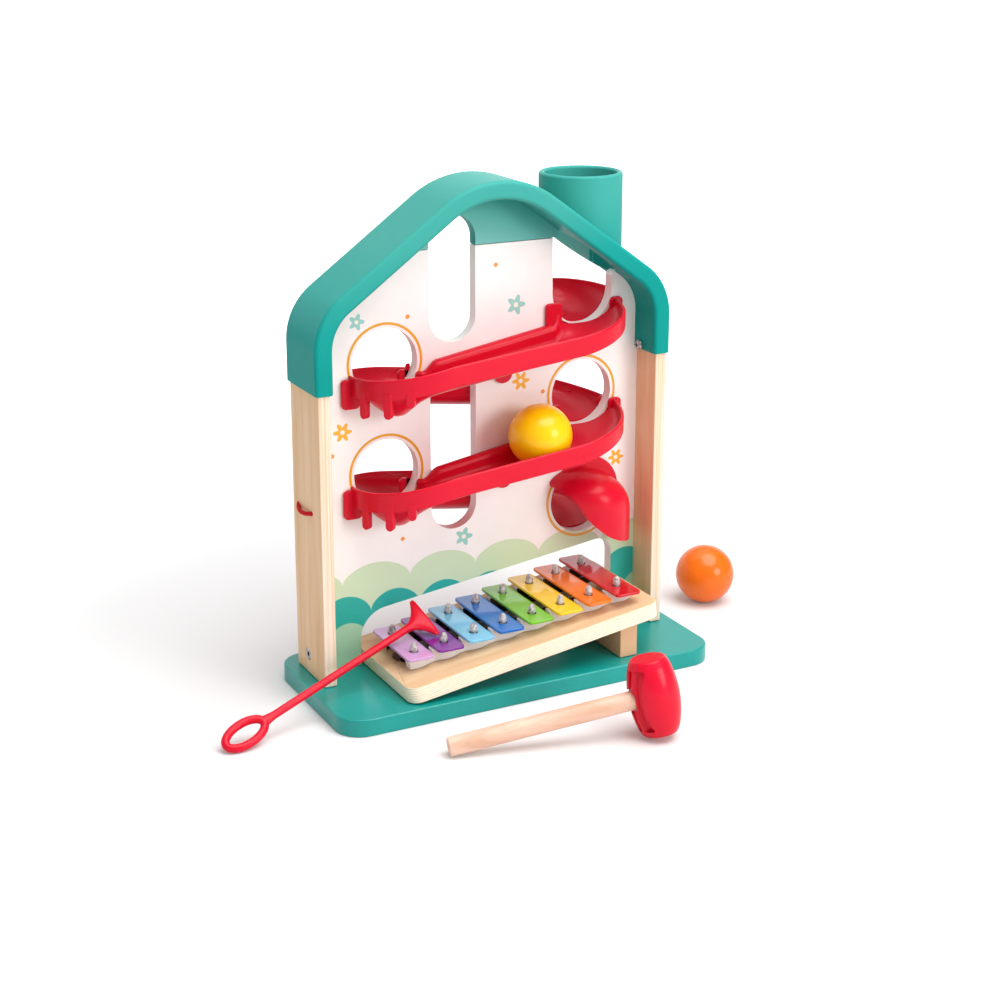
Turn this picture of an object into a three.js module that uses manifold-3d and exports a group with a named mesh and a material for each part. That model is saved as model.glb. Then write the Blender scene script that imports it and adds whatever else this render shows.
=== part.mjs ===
// A wooden house-shaped ball run with a xylophone, a hammer and a mallet.
// Millimetres, +Z up, +Y towards the back. The origin is the middle of the base's underside.
import * as THREE from "three";
import { mergeVertices } from "three/addons/utils/BufferGeometryUtils.js";
import Module from "manifold-3d";

const wasm = await Module();
wasm.setup();

// Clearances
const SEAT_GAP = 0.3; // between a piece and what it rests on or slots into
const PIN_GAP = 0.4; // around a shank in its hole
const CUT_OVER = 1; // how far a cutter runs past the face it opens

// Posts
const POSTS_SPAN = 271.4; // outer face to outer face
const POST_THICKNESS = 9;
const POST_DEPTH = 51;
const POST_FRONT = -4; // y of the front faces

// Roof arch
const ROOF_BAND = 13; // thickness of the arch seen from the front
const ROOF_PROUD = 1.9; // how far the arch stands proud of the posts
const ROOF_TOP = 356.5;
const ROOF_PITCH = THREE.MathUtils.degToRad(36);
const EAVE_RADIUS = 45;
const RIDGE_RADIUS = 66;
const ROOF_EASE = 2;
const RIDGE_PEAK = ROOF_TOP - RIDGE_RADIUS + RIDGE_RADIUS / Math.cos(ROOF_PITCH); // where the slopes would meet
const EAVE_X = POSTS_SPAN / 2 + ROOF_PROUD - EAVE_RADIUS; // centre of the eave's round
const EAVE_Z = RIDGE_PEAK - EAVE_X * Math.tan(ROOF_PITCH) - EAVE_RADIUS / Math.cos(ROOF_PITCH);
const POST_BELOW_EAVE = 1.18; // posts' tops below the start of the eave's round
const POST_TOP = EAVE_Z - POST_BELOW_EAVE;
const ROOF_LAP = 27.5; // arch's legs down over the posts
const ROOF_LEG_BOTTOM = POST_TOP - ROOF_LAP;

// Base board
const BASE_MARGIN = 10.3; // base beyond the posts' outer faces
const BASE_WIDTH = POSTS_SPAN + 2 * BASE_MARGIN;
const BASE_DEPTH = 128;
const BASE_THICKNESS = 12.5;
const BASE_CORNER = 19;
const BASE_EASE = 1.6;

// Panel between the posts
const PANEL_THICKNESS = 9;
const PANEL_SETBACK = 26; // panel face behind the posts' front faces
const PANEL_TONGUE = 2.6; // how far the panel's edges go into the post grooves
const PANEL_TOP = ROOF_TOP - 49.5;

// Ball holes in the panel
const BALL_DIAMETER = 45.5;
const HOLE_DIAMETER = 48.8;
const RIGHT_HOLE_INSET = 55.9; // hole's centre inside the right post's outer face
const LEFT_HOLE_INSET = 60.1; // and inside the left one's
const RIGHT_HOLE_X = POSTS_SPAN / 2 - RIGHT_HOLE_INSET;
const LEFT_HOLE_X = LEFT_HOLE_INSET - POSTS_SPAN / 2;
const INLET_DROP = 47.1; // inlet's centre below the roof's outer line
const INLET_Z = RIDGE_PEAK - RIGHT_HOLE_X * Math.tan(ROOF_PITCH) - INLET_DROP;
const OUTLET_Z = 109.5;
const UPPER_LEFT_SHARE = 0.7746; // heights of the other holes as shares from the outlet to the inlet
const MIDDLE_RIGHT_SHARE = 0.5206;
const LOWER_LEFT_SHARE = 0.273;
const UPPER_LEFT_Z = OUTLET_Z + UPPER_LEFT_SHARE * (INLET_Z - OUTLET_Z);
const MIDDLE_RIGHT_Z = OUTLET_Z + MIDDLE_RIGHT_SHARE * (INLET_Z - OUTLET_Z);
const LOWER_LEFT_Z = OUTLET_Z + LOWER_LEFT_SHARE * (INLET_Z - OUTLET_Z);

// Tall slots in the panel
const SLOT_SHIFT = 51.9; // slots' middle to the right of the left holes
const SLOT_X = LEFT_HOLE_X + SLOT_SHIFT;
const SLOT_WIDTH = 35.5;
const UPPER_SLOT_BOTTOM = UPPER_LEFT_Z + 9;
const UPPER_SLOT_TOP = ROOF_TOP - 26.5;
const LOWER_SLOT_BOTTOM = OUTLET_Z - 6.1;
const LOWER_SLOT_TOP = UPPER_LEFT_Z - 5.5;

// Window for the xylophone
const WINDOW_LEFT = -97.6;
const WINDOW_RIGHT = 107;
const WINDOW_LEFT_TOP = 51; // height of the sloping top edge at the left side
const WINDOW_RIGHT_TOP = 78;
const WINDOW_LEFT_ROUND = 22;
const WINDOW_RIGHT_ROUND = 12;

// Chimney
const CHIMNEY_SHIFT = 3.8; // chimney's axis to the right of the inlet
const CHIMNEY_X = RIGHT_HOLE_X + CHIMNEY_SHIFT;
const CHIMNEY_Y = 33;
const CHIMNEY_OUTER = 60;
const CHIMNEY_WALL = 4;
const CHIMNEY_STAND = 40.16; // rim above the roof's outer line at the chimney's axis
const CHIMNEY_TOP = RIDGE_PEAK - CHIMNEY_X * Math.tan(ROOF_PITCH) + CHIMNEY_STAND;

// Entry bowl behind the inlet
const BOWL_WALL = 2.2;
const BOWL_DEPTH = 42;
const BOWL_RIM_Z = INLET_Z - 0.5;

// Tracks
const TRACK_HALF_WIDTH = 25; // inside the trough
const TRACK_WALL = 2.2;
const TRACK_STANDOFF = 0.6; // between the near wall and the panel-side face of the track
const TRACK_FALL = 0.131; // slope of the straight run
const TRACK_DEPTH = 18.6; // outer rim above the floor on the straight run
const NEAR_DEPTH_ENTRY = 17; // panel-side rim above the floor where the run starts
const NEAR_DEPTH_EXIT = 9; // and where it ends
const UPPER_ENTRY_DROP = 13.8; // fall of the floor around the entry bend of an upper track
const LOWER_ENTRY_DROP = 16.2;
const BACK_ENTRY_DROP = 12;
const FRONT_ENTRY_RIM = 15; // outer rim above the floor where the ball comes in
const BACK_ENTRY_RIM = 12;
const BACK_TRACK_DEPTH = 14;
const BACK_EXIT_RIM = 14;
const NEAR_DEPTH_HOLE = 16.5; // panel-side rim above the floor at the entry hole
const EXIT_RIM = 16.2; // and where it leaves
const EXIT_BELLY = 7; // how far the exit bend bulges below its floor
const STILE_TO_HOLE = 9.8; // upright plate that ends the panel-side wall, from the bend's axis
const STILE_TO_RUN = 2.9;
const FLOOR_TO_HOLE = 1.2; // floor of a track above the lower edge of its hole
const TAB_WIDTH = 10;
const TAB_THICKNESS = 3;
const TAB_BELOW_HOLE = 6.6; // top of an entry tab under the hole's centre
const FLANGE_WIDTH = 12;
const FLANGE_HEIGHT = 21.2;
const RIBS = [ // place around the exit bend in degrees, and how far below the exit's floor each hangs
  { turn: 30, drop: 2 },
  { turn: 50, drop: 9 },
  { turn: 70, drop: 9.5 },
];
const RIB_WIDTH = 6;
const RIB_REACH = 5.5;
const FLANGE_DROP = 6.1; // flange's lower end below the exit's floor
const LUG_WIDTH = 14.5;
const LUG_THICKNESS = 7;
const LUG_DROP = 16.2;
const LUG_X = RIGHT_HOLE_X - 65.2; // front and back lugs share a place on the panel

// Exit spout
const SPOUT_SHIFT = 4.5; // centre of the hood to the right of the hole
const SPOUT_DROP = 9; // and below it
const SPOUT_HALF_WIDTH = 31.5;
const SPOUT_HALF_HEIGHT = 39;
const SPOUT_REACH = 36;
const SPOUT_WALL = 2.4;
const SPOUT_FLANGE = 4;
const SPOUT_MOUTH_ANGLE = THREE.MathUtils.degToRad(45);
const SPOUT_MOUTH_OFFSET = 7.5; // mouth plane below and left of the hole's centre

// Xylophone
const XYLO_TILT = THREE.MathUtils.degToRad(8.4);
const XYLO_LEFT = -95;
const XYLO_LENGTH = 199;
const XYLO_WIDTH = 101.5;
const XYLO_THICKNESS = 12;
const XYLO_CENTRE_Y = -8.3;
const XYLO_CORNER = 9;
const SOUND_SLOT_WIDTH = 26;
const SOUND_SLOT_END = 11.6; // slot's ends in from the board's ends
const SOUND_SLOT_DEPTH = 8;
const FOOT_WIDTH = 14;
const FOOT_X = 72;
const FOOT_INSET = 7; // front face of the foot behind the board's front
const FOOT_LENGTH = 88;

// Tone bars, their pins and cushions
const BAR_COUNT = 8;
const BAR_PITCH = 22.75;
const FIRST_BAR = 19.6; // centre of the first bar from the board's left end
const BAR_SPACE = 2.55; // between neighbouring bars, along the board
const BAR_WIDTH = BAR_PITCH - BAR_SPACE;
const BAR_THICKNESS = 2;
const BAR_CORNER = 3;
const SHORTEST_BAR = 62.7;
const BAR_STEP = 3.55;
const CUSHION_HEIGHT = 7.7; // under the middle of a bar
const CUSHION_WIDTH = 13;
const CUSHION_WAVE = 1.2;
const CUSHION_END = 3.5; // strips' ends in from the outer bars' edges
const PIN_SPREAD_SHARE = 0.292; // pins sit at the bars' still points, this share from the middle
const PIN_CAP_DIAMETER = 5.4;
const PIN_CAP_HEIGHT = 6.9;
const PIN_SHANK_DIAMETER = 3.6;
const PIN_DEPTH = 3.5; // shank in the board
const BAR_HOLE_DIAMETER = 5;

// Hammer
const HAMMER_HANDLE_DIAMETER = 13;
const HAMMER_REACH = 141; // from the handle's end to the head's axis
const HAMMER_HEAD_LENGTH = 56;
const HAMMER_HEAD_MIDDLE = 37;
const HAMMER_HEAD_END = 27;
const HAMMER_SOCKET = 12; // handle inside the head
const HAMMER_GROOVE = 5;
const HAMMER_GROOVE_TURN = THREE.MathUtils.degToRad(38); // grooves to either side of the handle
const HAMMER_END = new THREE.Vector2(-95, -114); // where the handle's end lies on the floor
const HAMMER_YAW = THREE.MathUtils.degToRad(-14.3);
const HAMMER_ROLL = THREE.MathUtils.degToRad(8); // the head's top leans towards the back

// Mallet
const MALLET_ROD_DIAMETER = 5.6;
const MALLET_RING_LENGTH = 36;
const MALLET_RING_WIDTH = 20.5;
const MALLET_RING_SECTION = 5.8;
const MALLET_HEAD_LENGTH = 33;
const MALLET_HEAD_THICKNESS = 5;
const MALLET_FLARE = 17;
const MALLET_LENGTH = 158; // ring's centre to the head's end
const MALLET_HEADING = THREE.MathUtils.degToRad(12.6);
const MALLET_RISE = THREE.MathUtils.degToRad(15.4);
const MALLET_ROLL = THREE.MathUtils.degToRad(38);
const MALLET_RING_XY = new THREE.Vector2(-207, -39.5);

// Loose ball and holder cord
const ORANGE_BALL = new THREE.Vector2(206, 42);
const YELLOW_BALL_X = 30.8;
const CORD_DIAMETER = 2.6;
const CORD_SPAN = 24;
const CORD_SAG = 7;
const CORD_Z = 138;
const CORD_KNOT = 6.4;
const CORD_SLACK = 0.9; // around the cord in its bores

// Fasteners
const NUT_DIAMETER = 8.4;
const NUT_LENGTH = 5;
const NUT_Z = 27;
const BOLT_DIAMETER = 3.6;
const BOLT_INSET = 3.9; // bolt's axis inside the post's outer face
const BOLT_HEAD_DIAMETER = 8;
const BOLT_HEAD_HEIGHT = 3;
const SCREW_DIAMETER = 3;
const SCREW_HEAD_DIAMETER = 5.4;
const SCREW_HEAD_HEIGHT = 1.4;
const SCREW_BITE = 5;
const SCREW_Z = ROOF_LEG_BOTTOM + 3.5;
const SCREW_SETBACK = 18; // screws behind the posts' front faces

// Places worked out from the sizes above
const baseTop = BASE_THICKNESS;
const postInner = POSTS_SPAN / 2 - POST_THICKNESS;
const postBack = POST_FRONT + POST_DEPTH;
const panelFront = POST_FRONT + PANEL_SETBACK;
const panelBack = panelFront + PANEL_THICKNESS;
const panelMiddle = (panelFront + panelBack) / 2;
const roofHalf = POSTS_SPAN / 2 + ROOF_PROUD;
const roofFront = POST_FRONT - ROOF_PROUD;
const roofBack = postBack + ROOF_PROUD;
const ridgeCentreZ = ROOF_TOP - RIDGE_RADIUS;
const slopePeakZ = ridgeCentreZ + RIDGE_RADIUS / Math.cos(ROOF_PITCH);
const eaveCornerZ = slopePeakZ - roofHalf * Math.tan(ROOF_PITCH);
const eaveCentreX = roofHalf - EAVE_RADIUS;
const eaveCentreZ = eaveCornerZ - EAVE_RADIUS * Math.tan((Math.PI / 2 - ROOF_PITCH) / 2);
const panelInset = roofHalf - (postInner + PANEL_TONGUE); // panel outline inside the roof's outer line
const ballRadius = BALL_DIAMETER / 2;
const trackCentre = TRACK_STANDOFF + TRACK_WALL + TRACK_HALF_WIDTH; // run's centre line to the panel side

// Materials
const material = (colour, roughness, metalness = 0) =>
  new THREE.MeshStandardMaterial({ color: colour, roughness, metalness });
const tealPaint = material(0x2aab9f, 0.45);
const tealPlastic = material(0x35b1a4, 0.5);
const redPlastic = material(0xe01b3c, 0.3);
const paleWood = material(0xe6c9a0, 0.6);
const whitePaint = material(0xf4eee8, 0.5);
const steel = material(0xb8bcc2, 0.3, 0.9);
const clearSoft = material(0xd6d3cf, 0.4);
const pinRubber = material(0xc9c4bd, 0.55);
const yellowWood = material(0xf7c21f, 0.35);
const orangeWood = material(0xee7a22, 0.35);
const barColours = [0xc9a3d6, 0x8e3fa8, 0x9ccbe8, 0x2f6fb7, 0x6aa83a, 0xf4dc20, 0xf29022, 0xd9202c];

// Solids and meshes
const positionsOnly = (geometry) => {
  const plain = geometry.clone();
  for (const name of Object.keys(plain.attributes)) {
    if (name !== "position") plain.deleteAttribute(name);
  }
  return mergeVertices(plain, 1e-4);
};

const solid = (geometry) => {
  const merged = positionsOnly(geometry);
  const made = new wasm.Manifold(
    new wasm.Mesh({
      numProp: 3,
      vertProperties: new Float32Array(merged.attributes.position.array),
      triVerts: new Uint32Array(merged.index.array),
    }),
  );
  if (made.volume() > 0) return made;
  return solid(turnedRound(merged));
};

const turnedRound = (geometry) => {
  const turned = geometry.clone();
  const order = turned.index.array;
  for (let i = 0; i < order.length; i += 3) {
    [order[i + 1], order[i + 2]] = [order[i + 2], order[i + 1]];
  }
  return turned;
};

const geometryOf = (manifold) => {
  const mesh = manifold.getMesh();
  const geometry = new THREE.BufferGeometry();
  geometry.setAttribute("position", new THREE.BufferAttribute(mesh.vertProperties, 3));
  geometry.setIndex(new THREE.BufferAttribute(mesh.triVerts, 1));
  geometry.computeVertexNormals();
  return geometry;
};

const join = (first, ...others) => others.reduce((sum, other) => sum.add(other), first);
const cut = (first, ...cutters) => cutters.reduce((rest, cutter) => rest.subtract(cutter), first);

const house = new THREE.Group();

const addMesh = (name, shape, finish, parent = house) => {
  const geometry = shape.isBufferGeometry ? shape : geometryOf(shape);
  const mesh = new THREE.Mesh(geometry, finish);
  mesh.name = name;
  parent.add(mesh);
  return mesh;
};

// A box between two corners
const block = (x0, x1, y0, y1, z0, z1) => {
  const geometry = new THREE.BoxGeometry(x1 - x0, y1 - y0, z1 - z0);
  geometry.translate((x0 + x1) / 2, (y0 + y1) / 2, (z0 + z1) / 2);
  return solid(geometry);
};

// A cylinder from one point to another
const rod = (from, to, diameter, sides = 14) => {
  const axis = to.clone().sub(from);
  const geometry = new THREE.CylinderGeometry(diameter / 2, diameter / 2, axis.length(), sides);
  geometry.translate(0, axis.length() / 2, 0);
  geometry.applyQuaternion(
    new THREE.Quaternion().setFromUnitVectors(new THREE.Vector3(0, 1, 0), axis.normalize()),
  );
  geometry.translate(from.x, from.y, from.z);
  return solid(geometry);
};

// An outline in X and Z, carried from y0 to y1
const slabAlongY = (outline, y0, y1, options = {}) => {
  const ease = options.ease ?? 0;
  const geometry = new THREE.ExtrudeGeometry(outline, {
    depth: y1 - y0 - 2 * ease,
    curveSegments: options.segments ?? 5,
    bevelEnabled: ease > 0,
    bevelThickness: ease,
    bevelSize: ease,
    bevelOffset: -ease,
    bevelSegments: 2,
  });
  geometry.rotateX(Math.PI / 2);
  geometry.translate(0, y1 - ease, 0);
  return solid(geometry);
};

// An outline in X and Y, carried from z0 to z1
const slabAlongZ = (outline, z0, z1, options = {}) => {
  const ease = options.ease ?? 0;
  const geometry = new THREE.ExtrudeGeometry(outline, {
    depth: z1 - z0 - 2 * ease,
    curveSegments: options.segments ?? 4,
    bevelEnabled: ease > 0,
    bevelThickness: ease,
    bevelSize: ease,
    bevelOffset: -ease,
    bevelSegments: 2,
  });
  geometry.translate(0, 0, z0 + ease);
  return solid(geometry);
};

const roundedRectangle = (x0, x1, y0, y1, radius) => {
  const outline = new THREE.Shape();
  outline.moveTo(x0 + radius, y0);
  outline.lineTo(x1 - radius, y0);
  outline.absarc(x1 - radius, y0 + radius, radius, -Math.PI / 2, 0, false);
  outline.absarc(x1 - radius, y1 - radius, radius, 0, Math.PI / 2, false);
  outline.absarc(x0 + radius, y1 - radius, radius, Math.PI / 2, Math.PI, false);
  outline.absarc(x0 + radius, y0 + radius, radius, Math.PI, Math.PI * 1.5, false);
  return outline;
};

// A slot with round ends, upright in X and Z
const uprightSlot = (x, width, bottom, top) =>
  roundedRectangle(x - width / 2, x + width / 2, bottom, top, width / 2 - 0.001);

const circle = (x, y, diameter) => {
  const outline = new THREE.Shape();
  outline.absarc(x, y, diameter / 2, 0, Math.PI * 2, false);
  return outline;
};

// A skin over a row of rings that hold equally many points
const loft = (rings, closed = false) => {
  const count = rings[0].length;
  const vertices = rings.flat().flatMap((point) => [point.x, point.y, point.z]);
  const faces = [];
  const last = closed ? rings.length : rings.length - 1;
  for (let i = 0; i < last; i += 1) {
    const next = (i + 1) % rings.length;
    for (let j = 0; j < count; j += 1) {
      const k = (j + 1) % count;
      faces.push(i * count + j, i * count + k, next * count + k);
      faces.push(i * count + j, next * count + k, next * count + j);
    }
  }
  if (!closed) {
    const centreOf = (ring) =>
      ring.reduce((sum, point) => sum.add(point), new THREE.Vector3()).divideScalar(count);
    for (const [row, turn] of [[0, true], [rings.length - 1, false]]) {
      const centre = vertices.length / 3;
      vertices.push(...centreOf(rings[row]).toArray());
      for (let j = 0; j < count; j += 1) {
        const a = row * count + j;
        const b = row * count + ((j + 1) % count);
        faces.push(...(turn ? [b, a, centre] : [a, b, centre]));
      }
    }
  }
  const geometry = new THREE.BufferGeometry();
  geometry.setAttribute("position", new THREE.Float32BufferAttribute(vertices, 3));
  geometry.setIndex(faces);
  return solid(geometry);
};

// Base board with two counterbored bolt holes
const boltX = POSTS_SPAN / 2 - BOLT_INSET;
const boltSpots = [-boltX, boltX];

const makeBase = () => {
  const outline = roundedRectangle(
    -BASE_WIDTH / 2, BASE_WIDTH / 2, -BASE_DEPTH / 2, BASE_DEPTH / 2, BASE_CORNER,
  );
  const board = slabAlongZ(outline, 0, BASE_THICKNESS, { ease: BASE_EASE, segments: 3 });
  const holes = boltSpots.flatMap((x) => [
    rod(
      new THREE.Vector3(x, panelMiddle, -CUT_OVER),
      new THREE.Vector3(x, panelMiddle, baseTop + CUT_OVER),
      BOLT_DIAMETER + 2 * PIN_GAP,
    ),
    rod(
      new THREE.Vector3(x, panelMiddle, -CUT_OVER),
      new THREE.Vector3(x, panelMiddle, BOLT_HEAD_HEIGHT + 2 * SEAT_GAP),
      BOLT_HEAD_DIAMETER + 2 * PIN_GAP,
    ),
  ]);
  addMesh("base_board", cut(board, ...holes), tealPaint);
};

// Posts, each with a groove for the panel and bores for its fasteners
const screwY = POST_FRONT + SCREW_SETBACK;
const cordY = [postBack - 10 - CORD_SPAN, postBack - 10];

// A short cord through two bores in the left post, knotted on the inner side
const cordKnotX = -postInner + SEAT_GAP + CORD_KNOT / 2;

const cordLine = (diameter) => {
  const outerX = -POSTS_SPAN / 2;
  const innerX = -postInner;
  const bend = CORD_DIAMETER / 2;
  const hang = outerX - 2 * SEAT_GAP - bend;
  const [y0, y1] = cordY;
  const route = new THREE.CatmullRomCurve3([
    new THREE.Vector3(cordKnotX, y0, CORD_Z),
    new THREE.Vector3(innerX - bend, y0, CORD_Z),
    new THREE.Vector3(outerX + bend, y0, CORD_Z),
    new THREE.Vector3(hang, y0 + CORD_SPAN * 0.12, CORD_Z - CORD_SAG * 0.35),
    new THREE.Vector3(hang, y0 + CORD_SPAN * 0.35, CORD_Z - CORD_SAG * 0.95),
    new THREE.Vector3(hang, y0 + CORD_SPAN * 0.65, CORD_Z - CORD_SAG * 0.9),
    new THREE.Vector3(hang, y1 - CORD_SPAN * 0.12, CORD_Z - CORD_SAG * 0.3),
    new THREE.Vector3(outerX + bend, y1, CORD_Z),
    new THREE.Vector3(innerX - bend, y1, CORD_Z),
    new THREE.Vector3(cordKnotX, y1, CORD_Z),
  ]);
  const sides = 6;
  const section = [];
  for (let j = 0; j < sides; j += 1) {
    const turn = (j / sides) * 2 * Math.PI;
    section.push(new THREE.Vector2(Math.cos(turn), Math.sin(turn)).multiplyScalar(diameter / 2));
  }
  return solid(
    new THREE.ExtrudeGeometry(
      new THREE.Shape(section), { steps: 20, bevelEnabled: false, extrudePath: route },
    ),
  );
};

const makeCord = () => {
  const knots = cordY.map((y) => {
    const geometry = new THREE.SphereGeometry(CORD_KNOT / 2, 10, 8);
    geometry.translate(cordKnotX, y, CORD_Z);
    return solid(geometry);
  });
  addMesh("holder_cord", join(cordLine(CORD_DIAMETER), ...knots), redPlastic);
};

const makePost = (name, side) => {
  const outer = side * (POSTS_SPAN / 2);
  const inner = side * postInner;
  const bottom = baseTop + SEAT_GAP;
  const post = block(
    Math.min(outer, inner), Math.max(outer, inner), POST_FRONT, postBack, bottom, POST_TOP,
  );
  const grooveEnd = side * (postInner + PANEL_TONGUE + SEAT_GAP);
  const grooveStart = side * (postInner - CUT_OVER);
  const groove = block(
    Math.min(grooveEnd, grooveStart), Math.max(grooveEnd, grooveStart),
    panelFront - SEAT_GAP, panelBack + SEAT_GAP, bottom - CUT_OVER, POST_TOP + CUT_OVER,
  );
  const nutBore = rod(
    new THREE.Vector3(outer + side * CUT_OVER, panelMiddle, NUT_Z),
    new THREE.Vector3(outer - side * (NUT_LENGTH + SEAT_GAP), panelMiddle, NUT_Z),
    NUT_DIAMETER + 2 * PIN_GAP,
  );
  const boltBore = rod(
    new THREE.Vector3(side * boltX, panelMiddle, bottom - CUT_OVER),
    new THREE.Vector3(side * boltX, panelMiddle, NUT_Z),
    BOLT_DIAMETER + 2 * PIN_GAP,
  );
  const screwBore = rod(
    new THREE.Vector3(side * (postInner - CUT_OVER), screwY, SCREW_Z),
    new THREE.Vector3(side * (postInner + SCREW_BITE + SEAT_GAP), screwY, SCREW_Z),
    SCREW_DIAMETER + 2 * PIN_GAP,
  );
  const cordBores = side > 0 ? [] : cordY.map((y) => rod(
    new THREE.Vector3(outer + side * CUT_OVER, y, CORD_Z),
    new THREE.Vector3(inner - side * CUT_OVER, y, CORD_Z),
    CORD_DIAMETER + 2 * CORD_SLACK,
    10,
  ));
  if (side < 0) cordBores.push(cordLine(CORD_DIAMETER + 2 * SEAT_GAP));
  addMesh(name, cut(post, groove, nutBore, boltBore, screwBore, ...cordBores), paleWood);
};

// The roof's outline, drawn a given distance inside its outer line, from the right leg to the left
const traceArch = (outline, inset, bottom) => {
  const right = Math.PI / 2 - ROOF_PITCH;
  const left = Math.PI / 2 + ROOF_PITCH;
  outline.moveTo(roofHalf - inset, bottom);
  outline.lineTo(roofHalf - inset, eaveCentreZ);
  outline.absarc(eaveCentreX, eaveCentreZ, EAVE_RADIUS - inset, 0, right, false);
  outline.absarc(0, ridgeCentreZ, RIDGE_RADIUS - inset, right, left, false);
  outline.absarc(-eaveCentreX, eaveCentreZ, EAVE_RADIUS - inset, left, Math.PI, false);
  outline.lineTo(-(roofHalf - inset), bottom);
  return outline;
};

const archRegion = (inset, bottom) => traceArch(new THREE.Shape(), inset, bottom);

const archBand = () => {
  const outline = archRegion(0, ROOF_LEG_BOTTOM);
  const inset = ROOF_BAND;
  const right = Math.PI / 2 - ROOF_PITCH;
  const left = Math.PI / 2 + ROOF_PITCH;
  outline.lineTo(-(roofHalf - inset), ROOF_LEG_BOTTOM);
  outline.absarc(-eaveCentreX, eaveCentreZ, EAVE_RADIUS - inset, Math.PI, left, true);
  outline.absarc(0, ridgeCentreZ, RIDGE_RADIUS - inset, left, right, true);
  outline.absarc(eaveCentreX, eaveCentreZ, EAVE_RADIUS - inset, right, 0, true);
  outline.lineTo(roofHalf - inset, ROOF_LEG_BOTTOM);
  return outline;
};

const upperSlot = () =>
  slabAlongY(
    uprightSlot(SLOT_X, SLOT_WIDTH, UPPER_SLOT_BOTTOM, UPPER_SLOT_TOP),
    panelFront - CUT_OVER, panelBack + CUT_OVER,
  );

// The ball's way down: a bore under the chimney
const chimneyBore = (diameter, bottom, top) =>
  rod(
    new THREE.Vector3(CHIMNEY_X, CHIMNEY_Y, bottom),
    new THREE.Vector3(CHIMNEY_X, CHIMNEY_Y, top),
    diameter,
    28,
  );

const makeRoof = () => {
  const band = slabAlongY(archBand(), roofFront, roofBack, { ease: ROOF_EASE, segments: 4 });
  const gable = slabAlongY(
    archRegion(ROOF_BAND - CUT_OVER, ROOF_LEG_BOTTOM), panelFront, panelBack, { segments: 4 },
  ).intersect(
    block(-roofHalf, roofHalf, panelFront, panelBack, PANEL_TOP + SEAT_GAP, ROOF_TOP),
  );
  const sockets = [-1, 1].map((side) => {
    const inner = side * (postInner - SEAT_GAP);
    const outer = side * (POSTS_SPAN / 2 + SEAT_GAP);
    return block(
      Math.min(inner, outer), Math.max(inner, outer), POST_FRONT - SEAT_GAP, postBack + SEAT_GAP,
      ROOF_LEG_BOTTOM - CUT_OVER, POST_TOP + SEAT_GAP,
    );
  });
  const groove = slabAlongY(
    archRegion(panelInset - SEAT_GAP, ROOF_LEG_BOTTOM - CUT_OVER),
    panelFront - SEAT_GAP, panelBack + SEAT_GAP, { segments: 4 },
  ).intersect(
    block(
      -roofHalf, roofHalf, panelFront - SEAT_GAP, panelBack + SEAT_GAP,
      ROOF_LEG_BOTTOM - CUT_OVER, PANEL_TOP + SEAT_GAP,
    ),
  );
  const ballWay = chimneyBore(CHIMNEY_OUTER - 2 * CHIMNEY_WALL, ROOF_LEG_BOTTOM, CHIMNEY_TOP);
  const inletWay = block(
    RIGHT_HOLE_X - HOLE_DIAMETER / 2, RIGHT_HOLE_X + HOLE_DIAMETER / 2,
    panelFront - CUT_OVER, panelBack + CUT_OVER, INLET_Z, PANEL_TOP + 2 * SEAT_GAP,
  );
  const screwBores = [-1, 1].map((side) => rod(
    new THREE.Vector3(side * (roofHalf - ROOF_BAND - CUT_OVER), screwY, SCREW_Z),
    new THREE.Vector3(side * postInner, screwY, SCREW_Z),
    SCREW_DIAMETER + 2 * PIN_GAP,
  ));
  const roof = cut(join(band, gable), ...sockets, groove, ballWay, inletWay, upperSlot(), ...screwBores);
  addMesh("roof_arch", roof, tealPlastic);
};

// The chimney stands on the right slope, and its back runs down behind the roof to the arch's inner line
const makeChimney = () => {
  const bottom = eaveCentreZ;
  const profile = [
    new THREE.Vector2(CHIMNEY_OUTER / 2 - CHIMNEY_WALL, bottom),
    new THREE.Vector2(CHIMNEY_OUTER / 2, bottom),
    new THREE.Vector2(CHIMNEY_OUTER / 2, CHIMNEY_TOP - CHIMNEY_WALL / 2),
    new THREE.Vector2(CHIMNEY_OUTER / 2 - CHIMNEY_WALL * 0.3, CHIMNEY_TOP),
    new THREE.Vector2(CHIMNEY_OUTER / 2 - CHIMNEY_WALL * 0.7, CHIMNEY_TOP),
    new THREE.Vector2(CHIMNEY_OUTER / 2 - CHIMNEY_WALL, CHIMNEY_TOP - CHIMNEY_WALL / 2),
    new THREE.Vector2(CHIMNEY_OUTER / 2 - CHIMNEY_WALL, bottom),
  ];
  const geometry = new THREE.LatheGeometry(profile, 28);
  geometry.rotateX(Math.PI / 2);
  geometry.translate(CHIMNEY_X, CHIMNEY_Y, 0);
  const underRoof = slabAlongY(
    archRegion(-SEAT_GAP, ROOF_LEG_BOTTOM), roofFront - CHIMNEY_OUTER, roofBack + SEAT_GAP,
    { segments: 4 },
  );
  const behindRoof = slabAlongY(
    archRegion(ROOF_BAND - SEAT_GAP, ROOF_LEG_BOTTOM), roofBack, roofBack + CHIMNEY_OUTER,
    { segments: 4 },
  );
  addMesh("chimney_tube", cut(solid(geometry), underRoof, behindRoof), tealPlastic);
};

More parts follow.
